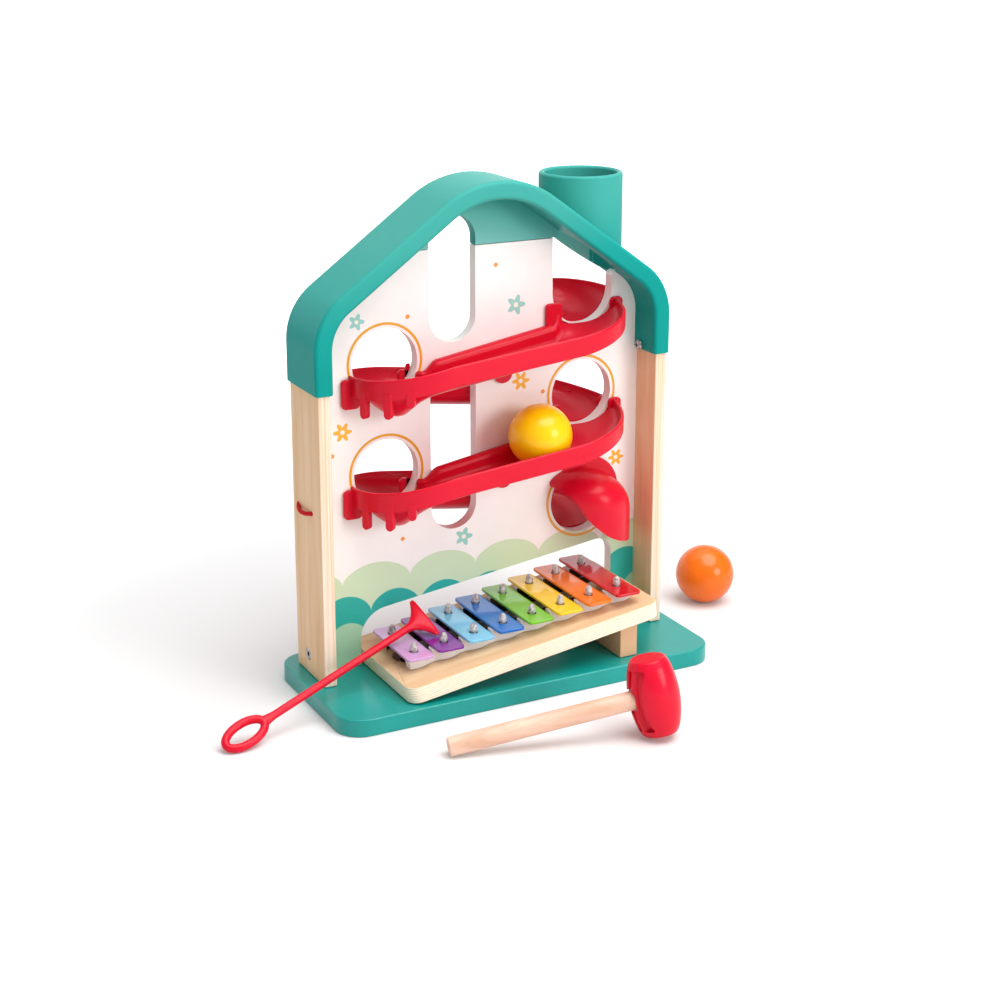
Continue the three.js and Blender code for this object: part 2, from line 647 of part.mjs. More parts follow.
const makePanel = () => {
  const bottom = baseTop + SEAT_GAP;
  const sheet = slabAlongY(archRegion(panelInset, bottom), panelFront, panelBack, { segments: 4 })
    .intersect(block(-roofHalf, roofHalf, panelFront, panelBack, bottom, PANEL_TOP));
  const through = (outline, segments) =>
    slabAlongY(outline, panelFront - CUT_OVER, panelBack + CUT_OVER, { segments });
  const holes = [
    [LEFT_HOLE_X, UPPER_LEFT_Z],
    [RIGHT_HOLE_X, MIDDLE_RIGHT_Z],
    [LEFT_HOLE_X, LOWER_LEFT_Z],
    [RIGHT_HOLE_X, OUTLET_Z],
  ].map(([x, z]) => through(circle(x, z, HOLE_DIAMETER), 12));
  const inlet = through(
    uprightSlot(
      RIGHT_HOLE_X, HOLE_DIAMETER, INLET_Z - HOLE_DIAMETER / 2, PANEL_TOP + HOLE_DIAMETER,
    ), 6,
  );
  const lowerSlot = through(uprightSlot(SLOT_X, SLOT_WIDTH, LOWER_SLOT_BOTTOM, LOWER_SLOT_TOP), 5);
  const opening = new THREE.Shape();
  const slope = Math.atan2(WINDOW_RIGHT_TOP - WINDOW_LEFT_TOP, WINDOW_RIGHT - WINDOW_LEFT);
  const leftCentre = new THREE.Vector2(
    WINDOW_LEFT + WINDOW_LEFT_ROUND,
    WINDOW_LEFT_TOP + WINDOW_LEFT_ROUND * (Math.tan(slope) - 1 / Math.cos(slope)),
  );
  const rightCentre = new THREE.Vector2(
    WINDOW_RIGHT - WINDOW_RIGHT_ROUND,
    WINDOW_RIGHT_TOP - WINDOW_RIGHT_ROUND * (Math.tan(slope) + 1 / Math.cos(slope)),
  );
  opening.moveTo(WINDOW_LEFT, bottom - CUT_OVER);
  opening.lineTo(WINDOW_RIGHT, bottom - CUT_OVER);
  opening.absarc(rightCentre.x, rightCentre.y, WINDOW_RIGHT_ROUND, 0, Math.PI / 2 + slope, false);
  opening.absarc(leftCentre.x, leftCentre.y, WINDOW_LEFT_ROUND, Math.PI / 2 + slope, Math.PI, false);
  addMesh(
    "house_panel",
    cut(sheet, ...holes, inlet, upperSlot(), lowerSlot, through(opening, 4)),
    whitePaint,
  );
};

// The bowl catches the ball under the chimney and lets it roll out through the inlet
const makeBowl = () => {
  const face = panelBack + SEAT_GAP;
  const floor = INLET_Z - HOLE_DIAMETER / 2 + FLOOR_TO_HOLE;
  const egg = (extra) => {
    const geometry = new THREE.SphereGeometry(1, 20, 14);
    geometry.rotateX(Math.PI / 2);
    geometry.scale(
      HOLE_DIAMETER / 2 + extra, BOWL_DEPTH + extra, INLET_Z - floor + extra,
    );
    geometry.translate(RIGHT_HOLE_X, face, INLET_Z);
    return solid(geometry);
  };
  const room = block(
    RIGHT_HOLE_X - HOLE_DIAMETER, RIGHT_HOLE_X + HOLE_DIAMETER,
    face, face + 2 * BOWL_DEPTH, INLET_Z - HOLE_DIAMETER, BOWL_RIM_Z,
  );
  const ear = (side) => slabAlongY(
    roundedRectangle(
      RIGHT_HOLE_X + side * (HOLE_DIAMETER / 2 + TAB_WIDTH / 2) - TAB_WIDTH / 2,
      RIGHT_HOLE_X + side * (HOLE_DIAMETER / 2 + TAB_WIDTH / 2) + TAB_WIDTH / 2,
      INLET_Z - HOLE_DIAMETER / 2 + TAB_WIDTH / 2, BOWL_RIM_Z, TAB_WIDTH / 4,
    ),
    face, face + TAB_THICKNESS, { segments: 2 },
  );
  const bowl = egg(BOWL_WALL).intersect(room);
  addMesh("entry_bowl", cut(join(bowl, ear(-1), ear(1)), egg(0)), redPlastic);
};

// A track runs between two holes on one face of the panel: a bend out of the entry hole, a straight
// run and a bend into the exit hole. Points are given by the distance along the panel, the distance
// from the panel's face and the height.
const BEND_STEPS = 4;
const SECTION_STEPS = 4;

const makeTrack = (name, face, entry, exit, entryDrop) => {
  const way = Math.sign(exit.x - entry.x);
  const entryRim = face === "front" ? FRONT_ENTRY_RIM : BACK_ENTRY_RIM;
  const runDepth = face === "front" ? TRACK_DEPTH : BACK_TRACK_DEPTH;
  const exitRim = face === "front" ? EXIT_RIM : BACK_EXIT_RIM;
  const outward = face === "front" ? -1 : 1;
  const faceY = face === "front" ? panelFront - SEAT_GAP : panelBack + SEAT_GAP;
  const place = (x, away, z) => new THREE.Vector3(x, faceY + outward * away, z);
  const entryPivot = entry.x + way * trackCentre;
  const exitPivot = exit.x - way * trackCentre;
  const floorAtHole = (z) => z - HOLE_DIAMETER / 2 + FLOOR_TO_HOLE;
  const entryFloor = floorAtHole(entry.z);
  const runStart = entryFloor - entryDrop;
  const runEnd = runStart - TRACK_FALL * Math.abs(exitPivot - entryPivot);
  const exitFloor = floorAtHole(exit.z);
  const runRim = runEnd + runDepth;

  // Each station gives its place and direction in plan, its floor, its two rims and its bulge
  const stations = [];
  for (let i = 0; i <= BEND_STEPS; i += 1) {
    const part = i / BEND_STEPS;
    const angle = (part * Math.PI) / 2;
    const floor = THREE.MathUtils.lerp(entryFloor, runStart, part);
    stations.push({
      pivot: entryPivot, across: [-way * Math.cos(angle), Math.sin(angle)], floor,
      rim: floor + THREE.MathUtils.lerp(entryRim, runDepth, part),
      near: floor + THREE.MathUtils.lerp(NEAR_DEPTH_HOLE, NEAR_DEPTH_ENTRY, part),
      belly: 0,
    });
  }
  for (let i = 0; i <= BEND_STEPS; i += 1) {
    const part = i / BEND_STEPS;
    const angle = (part * Math.PI) / 2;
    const floor = THREE.MathUtils.lerp(runEnd, exitFloor, part);
    stations.push({
      pivot: exitPivot, across: [way * Math.sin(angle), Math.cos(angle)], floor,
      rim: THREE.MathUtils.lerp(runRim, exitFloor + exitRim, Math.sin(angle)),
      near: floor + NEAR_DEPTH_EXIT * (1 - part / 2),
      belly: EXIT_BELLY * Math.sin(2 * angle),
    });
  }

  const ringAt = (station, points) => points.map(([w, z]) =>
    place(
      station.pivot + station.across[0] * (trackCentre + w),
      station.across[1] * (trackCentre + w),
      z,
    ));
  const bowlLine = (station, wall) => {
    const below = wall > 0 ? wall + station.belly : 0;
    const points = [];
    for (let i = -SECTION_STEPS; i <= SECTION_STEPS; i += 1) {
      const angle = (i / SECTION_STEPS) * (Math.PI / 2);
      const depth = (i < 0 ? station.near : station.rim) - station.floor + below;
      points.push([
        (TRACK_HALF_WIDTH + wall) * Math.sin(angle),
        station.floor - below + depth * (1 - Math.cos(angle)),
      ]);
    }
    return points;
  };
  const body = loft(stations.map((station) => ringAt(station, bowlLine(station, TRACK_WALL))));

  // The hollow starts and ends a little inside the panel's hole
  const past = (station, points) => ringAt(station, points).map((point) =>
    point.clone().setY(point.y - outward * CUT_OVER));
  const hollowLine = (station) => {
    const clear = HOLE_DIAMETER * 2;
    return [
      ...bowlLine(station, 0),
      [TRACK_HALF_WIDTH, station.rim + clear],
      [-TRACK_HALF_WIDTH, station.rim + clear],
    ];
  };
  const first = stations[0];
  const last = stations[stations.length - 1];
  const hollow = loft([
    past(first, hollowLine(first)),
    ...stations.map((station) => ringAt(station, hollowLine(station))),
    past(last, hollowLine(last)),
  ]);

  const plate = (x0, x1, z0, z1, radius, thickness = TAB_THICKNESS) => {
    const near = faceY;
    const far = faceY + outward * thickness;
    return slabAlongY(
      roundedRectangle(x0, x1, z0, z1, radius), Math.min(near, far), Math.max(near, far),
      { segments: 2 },
    );
  };
  const outerEdge = TRACK_HALF_WIDTH + TRACK_WALL / 2;
  const tabTop = entry.z - TAB_BELOW_HOLE;
  const tabX = entry.x - way * (outerEdge + TRACK_WALL / 2);
  const tab = plate(
    tabX - TAB_WIDTH / 2, tabX + TAB_WIDTH / 2, entryFloor - TRACK_WALL, tabTop, TAB_WIDTH / 3,
  );
  const stileX = [entryPivot - way * STILE_TO_HOLE, entryPivot + way * STILE_TO_RUN];
  const stile = plate(
    Math.min(...stileX), Math.max(...stileX), runStart, tabTop, TAB_WIDTH / 3,
  );
  const flangeX = exit.x + way * outerEdge;
  const flange = plate(
    flangeX - FLANGE_WIDTH / 2, flangeX + FLANGE_WIDTH / 2,
    exitFloor - FLANGE_DROP, exitFloor - FLANGE_DROP + FLANGE_HEIGHT, FLANGE_WIDTH / 3,
  );
  const middleFloor = runStart - TRACK_FALL * Math.abs(LUG_X - entryPivot);
  const lug = plate(
    LUG_X - LUG_WIDTH / 2, LUG_X + LUG_WIDTH / 2,
    middleFloor - TRACK_WALL - LUG_DROP, middleFloor + NEAR_DEPTH_EXIT / 2,
    LUG_WIDTH / 2 - 0.1,
    LUG_THICKNESS,
  );
  const ribs = RIBS.map(({ turn, drop }) => {
    const angle = THREE.MathUtils.degToRad(turn);
    const radial = new THREE.Vector2(way * Math.sin(angle), Math.cos(angle));
    const reach = trackCentre + TRACK_HALF_WIDTH + TRACK_WALL;
    const floor = THREE.MathUtils.lerp(runEnd, exitFloor, turn / 90);
    const bottom = exitFloor - drop;
    const top = floor + exitRim / 2;
    const geometry = new THREE.ExtrudeGeometry(
      roundedRectangle(-RIB_WIDTH / 2, RIB_WIDTH / 2, bottom, top, RIB_WIDTH / 2 - 0.1),
      { depth: RIB_REACH, curveSegments: 2, bevelEnabled: false },
    );
    const along = new THREE.Vector3(radial.y, -radial.x * outward, 0);
    const out = new THREE.Vector3(radial.x, radial.y * outward, 0);
    const start = place(
      exitPivot + radial.x * (reach - RIB_REACH), radial.y * (reach - RIB_REACH), 0,
    );
    geometry.applyMatrix4(
      new THREE.Matrix4().makeBasis(along, new THREE.Vector3(0, 0, 1), out).setPosition(start),
    );
    return solid(geometry);
  });
  addMesh(name, join(cut(join(body, tab, flange, lug, ...ribs), hollow), stile), redPlastic);
  return { runStart, entryPivot, faceY, outward, way };
};

// The hood over the last hole, open downwards to the left
const makeSpout = () => {
  const face = panelFront - SEAT_GAP;
  const centre = new THREE.Vector3(RIGHT_HOLE_X + SPOUT_SHIFT, face, OUTLET_Z - SPOUT_DROP);
  const dome = (extra) => {
    const geometry = new THREE.SphereGeometry(1, 20, 16);
    geometry.rotateX(Math.PI / 2);
    geometry.scale(SPOUT_HALF_WIDTH + extra, SPOUT_REACH + extra, SPOUT_HALF_HEIGHT + extra);
    geometry.translate(centre.x, centre.y, centre.z);
    return solid(geometry);
  };
  const size = 2 * (SPOUT_REACH + SPOUT_HALF_HEIGHT);
  const flange = dome(SPOUT_FLANGE).intersect(
    block(
      centre.x - size, centre.x + size, face - SPOUT_WALL, face, centre.z - size, centre.z + size,
    ),
  );
  const inFront = block(
    centre.x - size, centre.x + size, face - size, face, centre.z - size, centre.z + size,
  );
  const away = new THREE.BoxGeometry(2 * size, 2 * size, size);
  away.translate(0, 0, -size / 2 - SPOUT_MOUTH_OFFSET);
  away.rotateY(SPOUT_MOUTH_ANGLE);
  away.translate(RIGHT_HOLE_X, face, OUTLET_Z);
  const shell = join(dome(0), flange).intersect(inFront);
  addMesh("exit_spout", cut(shell, dome(-SPOUT_WALL), solid(away)), redPlastic);
};

// Xylophone, built level and tilted as one group about the left end's lower edge
const xylophone = new THREE.Group();
xylophone.position.set(XYLO_LEFT, XYLO_CENTRE_Y, baseTop + SEAT_GAP);
xylophone.rotation.y = -XYLO_TILT;
house.add(xylophone);

const barCentre = (i) => FIRST_BAR + i * BAR_PITCH;
const barLength = (i) => SHORTEST_BAR + i * BAR_STEP;
const pinY = (i) => barLength(i) * PIN_SPREAD_SHARE;
const cushionBottom = XYLO_THICKNESS + SEAT_GAP;
const barBottom = cushionBottom + CUSHION_HEIGHT + SEAT_GAP;
const barTop = barBottom + BAR_THICKNESS;

// The bars lie level like steps on the tilted board, so each one and its pins are turned back about
// the middle of the bar
const barMiddle = (barBottom + barTop) / 2;
const upright = new THREE.Vector3(Math.sin(XYLO_TILT), 0, Math.cos(XYLO_TILT));
const onPin = (x, y, z) =>
  new THREE.Vector3(x, y, barMiddle).addScaledVector(upright, z - barMiddle);
const pinHole = (x, y, diameter, z0, z1) => rod(onPin(x, y, z0), onPin(x, y, z1), diameter, 8);
const turnedLevel = (geometry, x, y) => {
  geometry.translate(0, 0, -barMiddle);
  geometry.rotateY(XYLO_TILT);
  geometry.translate(x, y, barMiddle);
  return solid(geometry);
};

const eachPin = (side, make) =>
  Array.from({ length: BAR_COUNT }, (_, i) => make(barCentre(i), side * pinY(i), i));

const makeXylophone = () => {
  const half = XYLO_WIDTH / 2;
  const board = slabAlongZ(
    roundedRectangle(0, XYLO_LENGTH, -half, half, XYLO_CORNER), 0, XYLO_THICKNESS, { segments: 2 },
  );
  const slotHalf = SOUND_SLOT_WIDTH / 2;
  const slot = slabAlongZ(
    roundedRectangle(
      SOUND_SLOT_END, XYLO_LENGTH - SOUND_SLOT_END, -slotHalf, slotHalf, slotHalf - 0.001,
    ),
    XYLO_THICKNESS - SOUND_SLOT_DEPTH, XYLO_THICKNESS + CUT_OVER, { segments: 3 },
  );
  const holes = [-1, 1].flatMap((side) => eachPin(side, (x, y) =>
    pinHole(
      x, y, PIN_SHANK_DIAMETER + 2 * PIN_GAP, XYLO_THICKNESS - PIN_DEPTH - SEAT_GAP,
      XYLO_THICKNESS + CUT_OVER,
    )));
  addMesh("xylophone_board", cut(board, slot, ...holes), paleWood, xylophone);

  const underside = (x) => baseTop + SEAT_GAP + (x - XYLO_LEFT) * Math.tan(XYLO_TILT);
  const foot = new THREE.Shape();
  foot.moveTo(FOOT_X, baseTop + SEAT_GAP);
  foot.lineTo(FOOT_X + FOOT_WIDTH, baseTop + SEAT_GAP);
  foot.lineTo(FOOT_X + FOOT_WIDTH, underside(FOOT_X + FOOT_WIDTH) - SEAT_GAP);
  foot.lineTo(FOOT_X, underside(FOOT_X) - SEAT_GAP);
  const footFront = XYLO_CENTRE_Y - half + FOOT_INSET;
  addMesh("xylophone_foot", slabAlongY(foot, footFront, footFront + FOOT_LENGTH), paleWood);
};

const makeBars = () => {
  for (let i = 0; i < BAR_COUNT; i += 1) {
    const x = barCentre(i);
    const half = barLength(i) / 2;
    const plate = new THREE.ExtrudeGeometry(
      roundedRectangle(-BAR_WIDTH / 2, BAR_WIDTH / 2, -half, half, BAR_CORNER),
      { depth: BAR_THICKNESS, curveSegments: 2, bevelEnabled: false },
    );
    plate.translate(0, 0, barBottom);
    const bar = turnedLevel(plate, x, 0);
    const holes = [-1, 1].map((side) =>
      pinHole(x, side * pinY(i), BAR_HOLE_DIAMETER, barBottom - CUT_OVER, barTop + CUT_OVER));
    addMesh(`bar_${i + 1}`, cut(bar, ...holes), material(barColours[i], 0.25, 0.6), xylophone);
  }
};

// A cap that rounds off upwards, on a shank that goes down into the board
const pinProfile = () => {
  const cap = PIN_CAP_DIAMETER / 2;
  const shank = PIN_SHANK_DIAMETER / 2;
  return [
    [0, XYLO_THICKNESS - PIN_DEPTH],
    [shank, XYLO_THICKNESS - PIN_DEPTH],
    [shank, barTop],
    [cap * 0.9, barTop + SEAT_GAP],
    [cap, barTop + PIN_CAP_HEIGHT * 0.35],
    [cap * 0.7, barTop + PIN_CAP_HEIGHT * 0.8],
    [0, barTop + PIN_CAP_HEIGHT],
  ].map(([r, z]) => new THREE.Vector2(r, z));
};

const makePins = () => {
  for (const [row, side] of [["front", -1], ["back", 1]]) {
    eachPin(side, (x, y, i) => {
      const geometry = new THREE.LatheGeometry(pinProfile(), 8);
      geometry.rotateX(Math.PI / 2);
      addMesh(`bar_pin_${row}_${i + 1}`, turnedLevel(geometry, x, y), pinRubber, xylophone);
    });
  }
};

// A soft strip with a wavy outer edge that follows the line of the pins, and a level seat for each bar
const seatLine = () => {
  const outline = new THREE.Shape();
  const half = BAR_PITCH / 2;
  const rise = half * Math.tan(XYLO_TILT);
  const seat = cushionBottom + CUSHION_HEIGHT;
  outline.moveTo(barCentre(0) - half, cushionBottom);
  for (let i = 0; i < BAR_COUNT; i += 1) {
    outline.lineTo(barCentre(i) - half, seat + rise);
    outline.lineTo(barCentre(i) + half, seat - rise);
  }
  outline.lineTo(barCentre(BAR_COUNT - 1) + half, cushionBottom);
  return outline;
};

const makeCushions = () => {
  const last = BAR_COUNT - 1;
  const x0 = barCentre(0) - BAR_WIDTH / 2 + CUSHION_END;
  const x1 = barCentre(last) + BAR_WIDTH / 2 - CUSHION_END;
  const seats = slabAlongY(seatLine(), -XYLO_WIDTH / 2, XYLO_WIDTH / 2);
  for (const [row, side] of [["front", -1], ["back", 1]]) {
    const lineY = (x) =>
      side * (pinY(0) + ((pinY(last) - pinY(0)) * (x - barCentre(0))) / (barCentre(last) - barCentre(0)));
    const waveSteps = 3;
    const steps = waveSteps * BAR_COUNT;
    const outer = [];
    for (let i = 0; i <= steps; i += 1) {
      const x = THREE.MathUtils.lerp(x0, x1, i / steps);
      const wave = CUSHION_WAVE * Math.cos(((x - barCentre(0)) / BAR_PITCH) * 2 * Math.PI);
      outer.push(new THREE.Vector2(x, lineY(x) + side * (CUSHION_WIDTH / 2 + wave)));
    }
    const inner = [x1, x0].map((x) => new THREE.Vector2(x, lineY(x) - side * (CUSHION_WIDTH / 2)));
    const strip = slabAlongZ(
      new THREE.Shape([...outer, ...inner]), cushionBottom, barTop,
    ).intersect(seats);
    const holes = eachPin(side, (x, y) => pinHole(
      x, y, PIN_SHANK_DIAMETER + 2 * PIN_GAP, cushionBottom - CUT_OVER,
      barTop + CUT_OVER,
    ));
    addMesh(`${row}_cushion`, cut(strip, ...holes), clearSoft, xylophone);
  }
};

// The hammer lies on the end of its handle and on the lower rim of its upright head.
// Its own frame: X along the handle from the end, Z along the head.
const hammerTilt = () => {
  const upright = (tilt) => Math.cos(HAMMER_ROLL) * Math.cos(tilt);
  const headLow = (tilt) =>
    HAMMER_REACH * Math.sin(tilt) - (HAMMER_HEAD_LENGTH / 2) * upright(tilt)
    - (HAMMER_HEAD_END / 2) * Math.sqrt(1 - upright(tilt) ** 2);
  const endLow = (tilt) => -(HAMMER_HANDLE_DIAMETER / 2) * Math.cos(tilt);
  let low = 0;
  let high = Math.PI / 4;
  for (let i = 0; i < 40; i += 1) {
    const middle = (low + high) / 2;
    if (headLow(middle) < endLow(middle)) low = middle;
    else high = middle;
  }
  return high;
};

const makeHammer = () => {
  const hammer = new THREE.Group();
  const tilt = hammerTilt();
  hammer.position.set(
    HAMMER_END.x, HAMMER_END.y, (HAMMER_HANDLE_DIAMETER / 2) * Math.cos(tilt) + SEAT_GAP,
  );
  hammer.rotation.set(-HAMMER_ROLL, -tilt, HAMMER_YAW, "ZYX");
  house.add(hammer);

  const barrel = [];
  const rings = 6;
  for (let i = 0; i <= rings; i += 1) {
    const part = (i / rings) * 2 - 1;
    const radius = THREE.MathUtils.lerp(HAMMER_HEAD_MIDDLE, HAMMER_HEAD_END, part * part) / 2;
    barrel.push(new THREE.Vector2(radius, (part * HAMMER_HEAD_LENGTH) / 2));
  }
  const profile = [
    new THREE.Vector2(0, -HAMMER_HEAD_LENGTH / 2),
    ...barrel,
    new THREE.Vector2(0, HAMMER_HEAD_LENGTH / 2),
  ];
  const geometry = new THREE.LatheGeometry(profile, 16);
  geometry.rotateX(Math.PI / 2);
  geometry.translate(HAMMER_REACH, 0, 0);
  const socketEnd = HAMMER_REACH - HAMMER_HEAD_MIDDLE / 2 + HAMMER_SOCKET;
  const socket = rod(
    new THREE.Vector3(0, 0, 0), new THREE.Vector3(socketEnd + SEAT_GAP, 0, 0),
    HAMMER_HANDLE_DIAMETER + 2 * PIN_GAP, 16,
  );
  // Two bowed grooves, one to either side of the handle
  const grooves = [-1, 1].map((side) => {
    const scoop = new THREE.SphereGeometry(1, 10, 6);
    scoop.rotateX(Math.PI / 2);
    scoop.scale(HAMMER_GROOVE, HAMMER_GROOVE, HAMMER_HEAD_LENGTH * 0.42);
    scoop.translate(
      HAMMER_REACH - Math.cos(HAMMER_GROOVE_TURN) * (HAMMER_HEAD_MIDDLE / 2),
      side * Math.sin(HAMMER_GROOVE_TURN) * (HAMMER_HEAD_MIDDLE / 2),
      0,
    );
    return solid(scoop);
  });
  addMesh("hammer_head", cut(solid(geometry), socket, ...grooves), redPlastic, hammer);
  addMesh(
    "hammer_handle",
    rod(new THREE.Vector3(0, 0, 0), new THREE.Vector3(socketEnd, 0, 0), HAMMER_HANDLE_DIAMETER, 16),
    paleWood, hammer,
  );
};

// The mallet is one moulding: an oval ring, a rod and a flat head.
// Its own frame: X along the rod from the ring's centre, Y across the flat.
const makeMallet = () => {
  const ovalRing = [];
  const ringSteps = 18;
  const sectionSides = 7;
  const a = (MALLET_RING_LENGTH - MALLET_RING_SECTION) / 2;
  const b = (MALLET_RING_WIDTH - MALLET_RING_SECTION) / 2;
  for (let i = 0; i < ringSteps; i += 1) {
    const angle = (i / ringSteps) * 2 * Math.PI;
    const centre = new THREE.Vector3(a * Math.cos(angle), b * Math.sin(angle), 0);
    const out = new THREE.Vector3(b * Math.cos(angle), a * Math.sin(angle), 0).normalize();
    const section = [];
    for (let j = 0; j < sectionSides; j += 1) {
      const turn = (j / sectionSides) * 2 * Math.PI;
      section.push(
        centre.clone()
          .addScaledVector(out, (MALLET_RING_SECTION / 2) * Math.cos(turn))
          .add(new THREE.Vector3(0, 0, (MALLET_RING_SECTION / 2) * Math.sin(turn))),
      );
    }
    ovalRing.push(section);
  }
  const rodRadius = MALLET_ROD_DIAMETER / 2;
  const headHalf = MALLET_HEAD_LENGTH / 2;
  const headThick = MALLET_HEAD_THICKNESS / 2;
  const flareStart = MALLET_LENGTH - MALLET_FLARE;
  const widthAt = [[a, rodRadius * 1.5, rodRadius], [a + MALLET_FLARE / 2, rodRadius, rodRadius]];
  const flareSteps = 5;
  for (let i = 0; i <= flareSteps; i += 1) {
    const part = i / flareSteps;
    widthAt.push([
      flareStart + part * MALLET_FLARE,
      THREE.MathUtils.lerp(rodRadius, headHalf, part ** 2.4),
      THREE.MathUtils.lerp(rodRadius, headThick, part),
    ]);
  }
  widthAt.push([MALLET_LENGTH + headThick * 0.7, headHalf * 0.94, headThick * 0.6]);
  const stick = loft(widthAt.map(([x, wide, thick]) => {
    const section = [];
    const sides = 12;
    for (let j = 0; j < sides; j += 1) {
      const turn = (j / sides) * 2 * Math.PI;
      section.push(new THREE.Vector3(x, wide * Math.cos(turn), thick * Math.sin(turn)));
    }
    return section;
  }));
  const mallet = addMesh("mallet", join(loft(ovalRing, true), stick), redPlastic);
  mallet.rotation.set(MALLET_ROLL, -MALLET_RISE, MALLET_HEADING, "ZYX");
  mallet.updateMatrix();
  const lowest = new THREE.Box3().setFromBufferAttribute(
    mallet.geometry.clone().applyMatrix4(mallet.matrix).attributes.position,
  ).min.z;
  mallet.position.set(MALLET_RING_XY.x, MALLET_RING_XY.y, SEAT_GAP - lowest);
};

const makeBalls = (lowerTrack) => {
  const ball = (name, centre, finish) => {
    const geometry = new THREE.SphereGeometry(ballRadius, 16, 12);
    geometry.rotateX(Math.PI / 2);
    const mesh = addMesh(name, solid(geometry), finish);
    mesh.position.copy(centre);
  };
  const rolled = Math.abs(YELLOW_BALL_X - lowerTrack.entryPivot);
  const floor = lowerTrack.runStart - TRACK_FALL * rolled;
  const slope = Math.hypot(1, TRACK_FALL);
  ball(
    "yellow_ball",
    new THREE.Vector3(
      YELLOW_BALL_X, lowerTrack.faceY + lowerTrack.outward * trackCentre,
      floor + (ballRadius + SEAT_GAP) * slope,
    ),
    yellowWood,
  );
  ball(
    "orange_ball", new THREE.Vector3(ORANGE_BALL.x, ORANGE_BALL.y, ballRadius), orangeWood,
  );
};

const makeFasteners = () => {
  for (const [label, side] of [["left", -1], ["right", 1]]) {
    const outer = side * (POSTS_SPAN / 2);
    addMesh(
      `${label}_barrel_nut`,
      rod(
        new THREE.Vector3(outer, panelMiddle, NUT_Z),
        new THREE.Vector3(outer - side * NUT_LENGTH, panelMiddle, NUT_Z),
        NUT_DIAMETER, 16,
      ),
      steel,
    );
    const head = new THREE.Vector3(side * boltX, panelMiddle, SEAT_GAP);
    const neck = head.clone().setZ(SEAT_GAP + BOLT_HEAD_HEIGHT);
    const tip = head.clone().setZ(NUT_Z - NUT_DIAMETER / 2 - SEAT_GAP);
    addMesh(
      `${label}_base_bolt`,
      join(rod(head, neck, BOLT_HEAD_DIAMETER, 12), rod(head, tip, BOLT_DIAMETER, 10)),
      steel,
    );
    const wall = side * (roofHalf - ROOF_BAND);
    const seat = new THREE.Vector3(wall - side * SEAT_GAP, screwY, SCREW_Z);
    const top = seat.clone().setX(seat.x - side * SCREW_HEAD_HEIGHT);
    const point = seat.clone().setX(side * (postInner + SCREW_BITE));
    addMesh(
      `${label}_roof_screw`,
      join(rod(seat, top, SCREW_HEAD_DIAMETER, 12), rod(top, point, SCREW_DIAMETER, 8)),
      steel,
    );
  }
};

makeBase();
makePost("left_post", -1);
makePost("right_post", 1);
makePanel();
makeRoof();
makeChimney();
makeBowl();

const rightHole = (z) => ({ x: RIGHT_HOLE_X, z });
const leftHole = (z) => ({ x: LEFT_HOLE_X, z });
makeTrack(
  "front_track_upper", "front", rightHole(INLET_Z), leftHole(UPPER_LEFT_Z),
  UPPER_ENTRY_DROP,
);
makeTrack(
  "back_track_upper", "back", leftHole(UPPER_LEFT_Z), rightHole(MIDDLE_RIGHT_Z),
  BACK_ENTRY_DROP,
);
const lowerTrack = makeTrack(
  "front_track_lower", "front", rightHole(MIDDLE_RIGHT_Z), leftHole(LOWER_LEFT_Z),
  LOWER_ENTRY_DROP,
);
makeTrack(
  "back_track_lower", "back", leftHole(LOWER_LEFT_Z), rightHole(OUTLET_Z),
  BACK_ENTRY_DROP,
);
makeSpout();

makeXylophone();
makeBars();
makePins();
makeCushions();
makeHammer();
makeMallet();
makeBalls(lowerTrack);
makeCord();
makeFasteners();

export default house;
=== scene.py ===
# %% [markdown]
# # A wooden ball run with a xylophone, dressed piece by piece
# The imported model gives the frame: where every piece is and how it moves. Each step below looks at one
# piece of the toy, says how the real one is made, and models it in its place. Sizes are written in
# millimetres, as a maker would measure them, and turned into metres when points are laid.

# %% Opening the frame
from math import acos, atan2, cos, pi, radians, sin, sqrt, tan

import bpy
from mathutils import Matrix, Vector


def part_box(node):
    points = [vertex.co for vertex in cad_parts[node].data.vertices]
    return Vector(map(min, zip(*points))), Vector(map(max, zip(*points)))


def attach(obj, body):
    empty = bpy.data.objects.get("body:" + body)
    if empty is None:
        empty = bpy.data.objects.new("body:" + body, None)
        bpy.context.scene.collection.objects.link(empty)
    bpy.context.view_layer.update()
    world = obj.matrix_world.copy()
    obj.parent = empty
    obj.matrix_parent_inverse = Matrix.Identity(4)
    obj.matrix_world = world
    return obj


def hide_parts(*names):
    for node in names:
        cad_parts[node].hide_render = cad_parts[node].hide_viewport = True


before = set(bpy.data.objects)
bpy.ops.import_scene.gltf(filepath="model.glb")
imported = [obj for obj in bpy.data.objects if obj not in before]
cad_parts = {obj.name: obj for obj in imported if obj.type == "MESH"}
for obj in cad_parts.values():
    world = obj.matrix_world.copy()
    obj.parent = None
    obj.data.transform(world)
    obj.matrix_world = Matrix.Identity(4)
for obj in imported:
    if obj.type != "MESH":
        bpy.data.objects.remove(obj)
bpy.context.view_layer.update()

MM = 0.001

# %% [markdown]
# ## The camera
# The photograph was taken from the front left, a little above the roof, with a fairly long lens.
# A camera could be turned by eye until the picture fits. Here its numbers come from fitting the CAD
# model's corners to the photograph, so that render and photograph can be laid side by side.

# %% Camera
camera_data = bpy.data.cameras.new("camera")
camera_data.lens = 66.856
camera_data.sensor_width = 36
camera_data.shift_y = -0.1
camera = bpy.data.objects.new("camera", camera_data)
camera.location = (-0.57317, -1.11022, 0.54107)
camera.rotation_euler = (radians(90 - 15.229), 0, radians(-27.384))
bpy.context.scene.collection.objects.link(camera)
bpy.context.scene.camera = camera
print("camera at", tuple(camera.location))


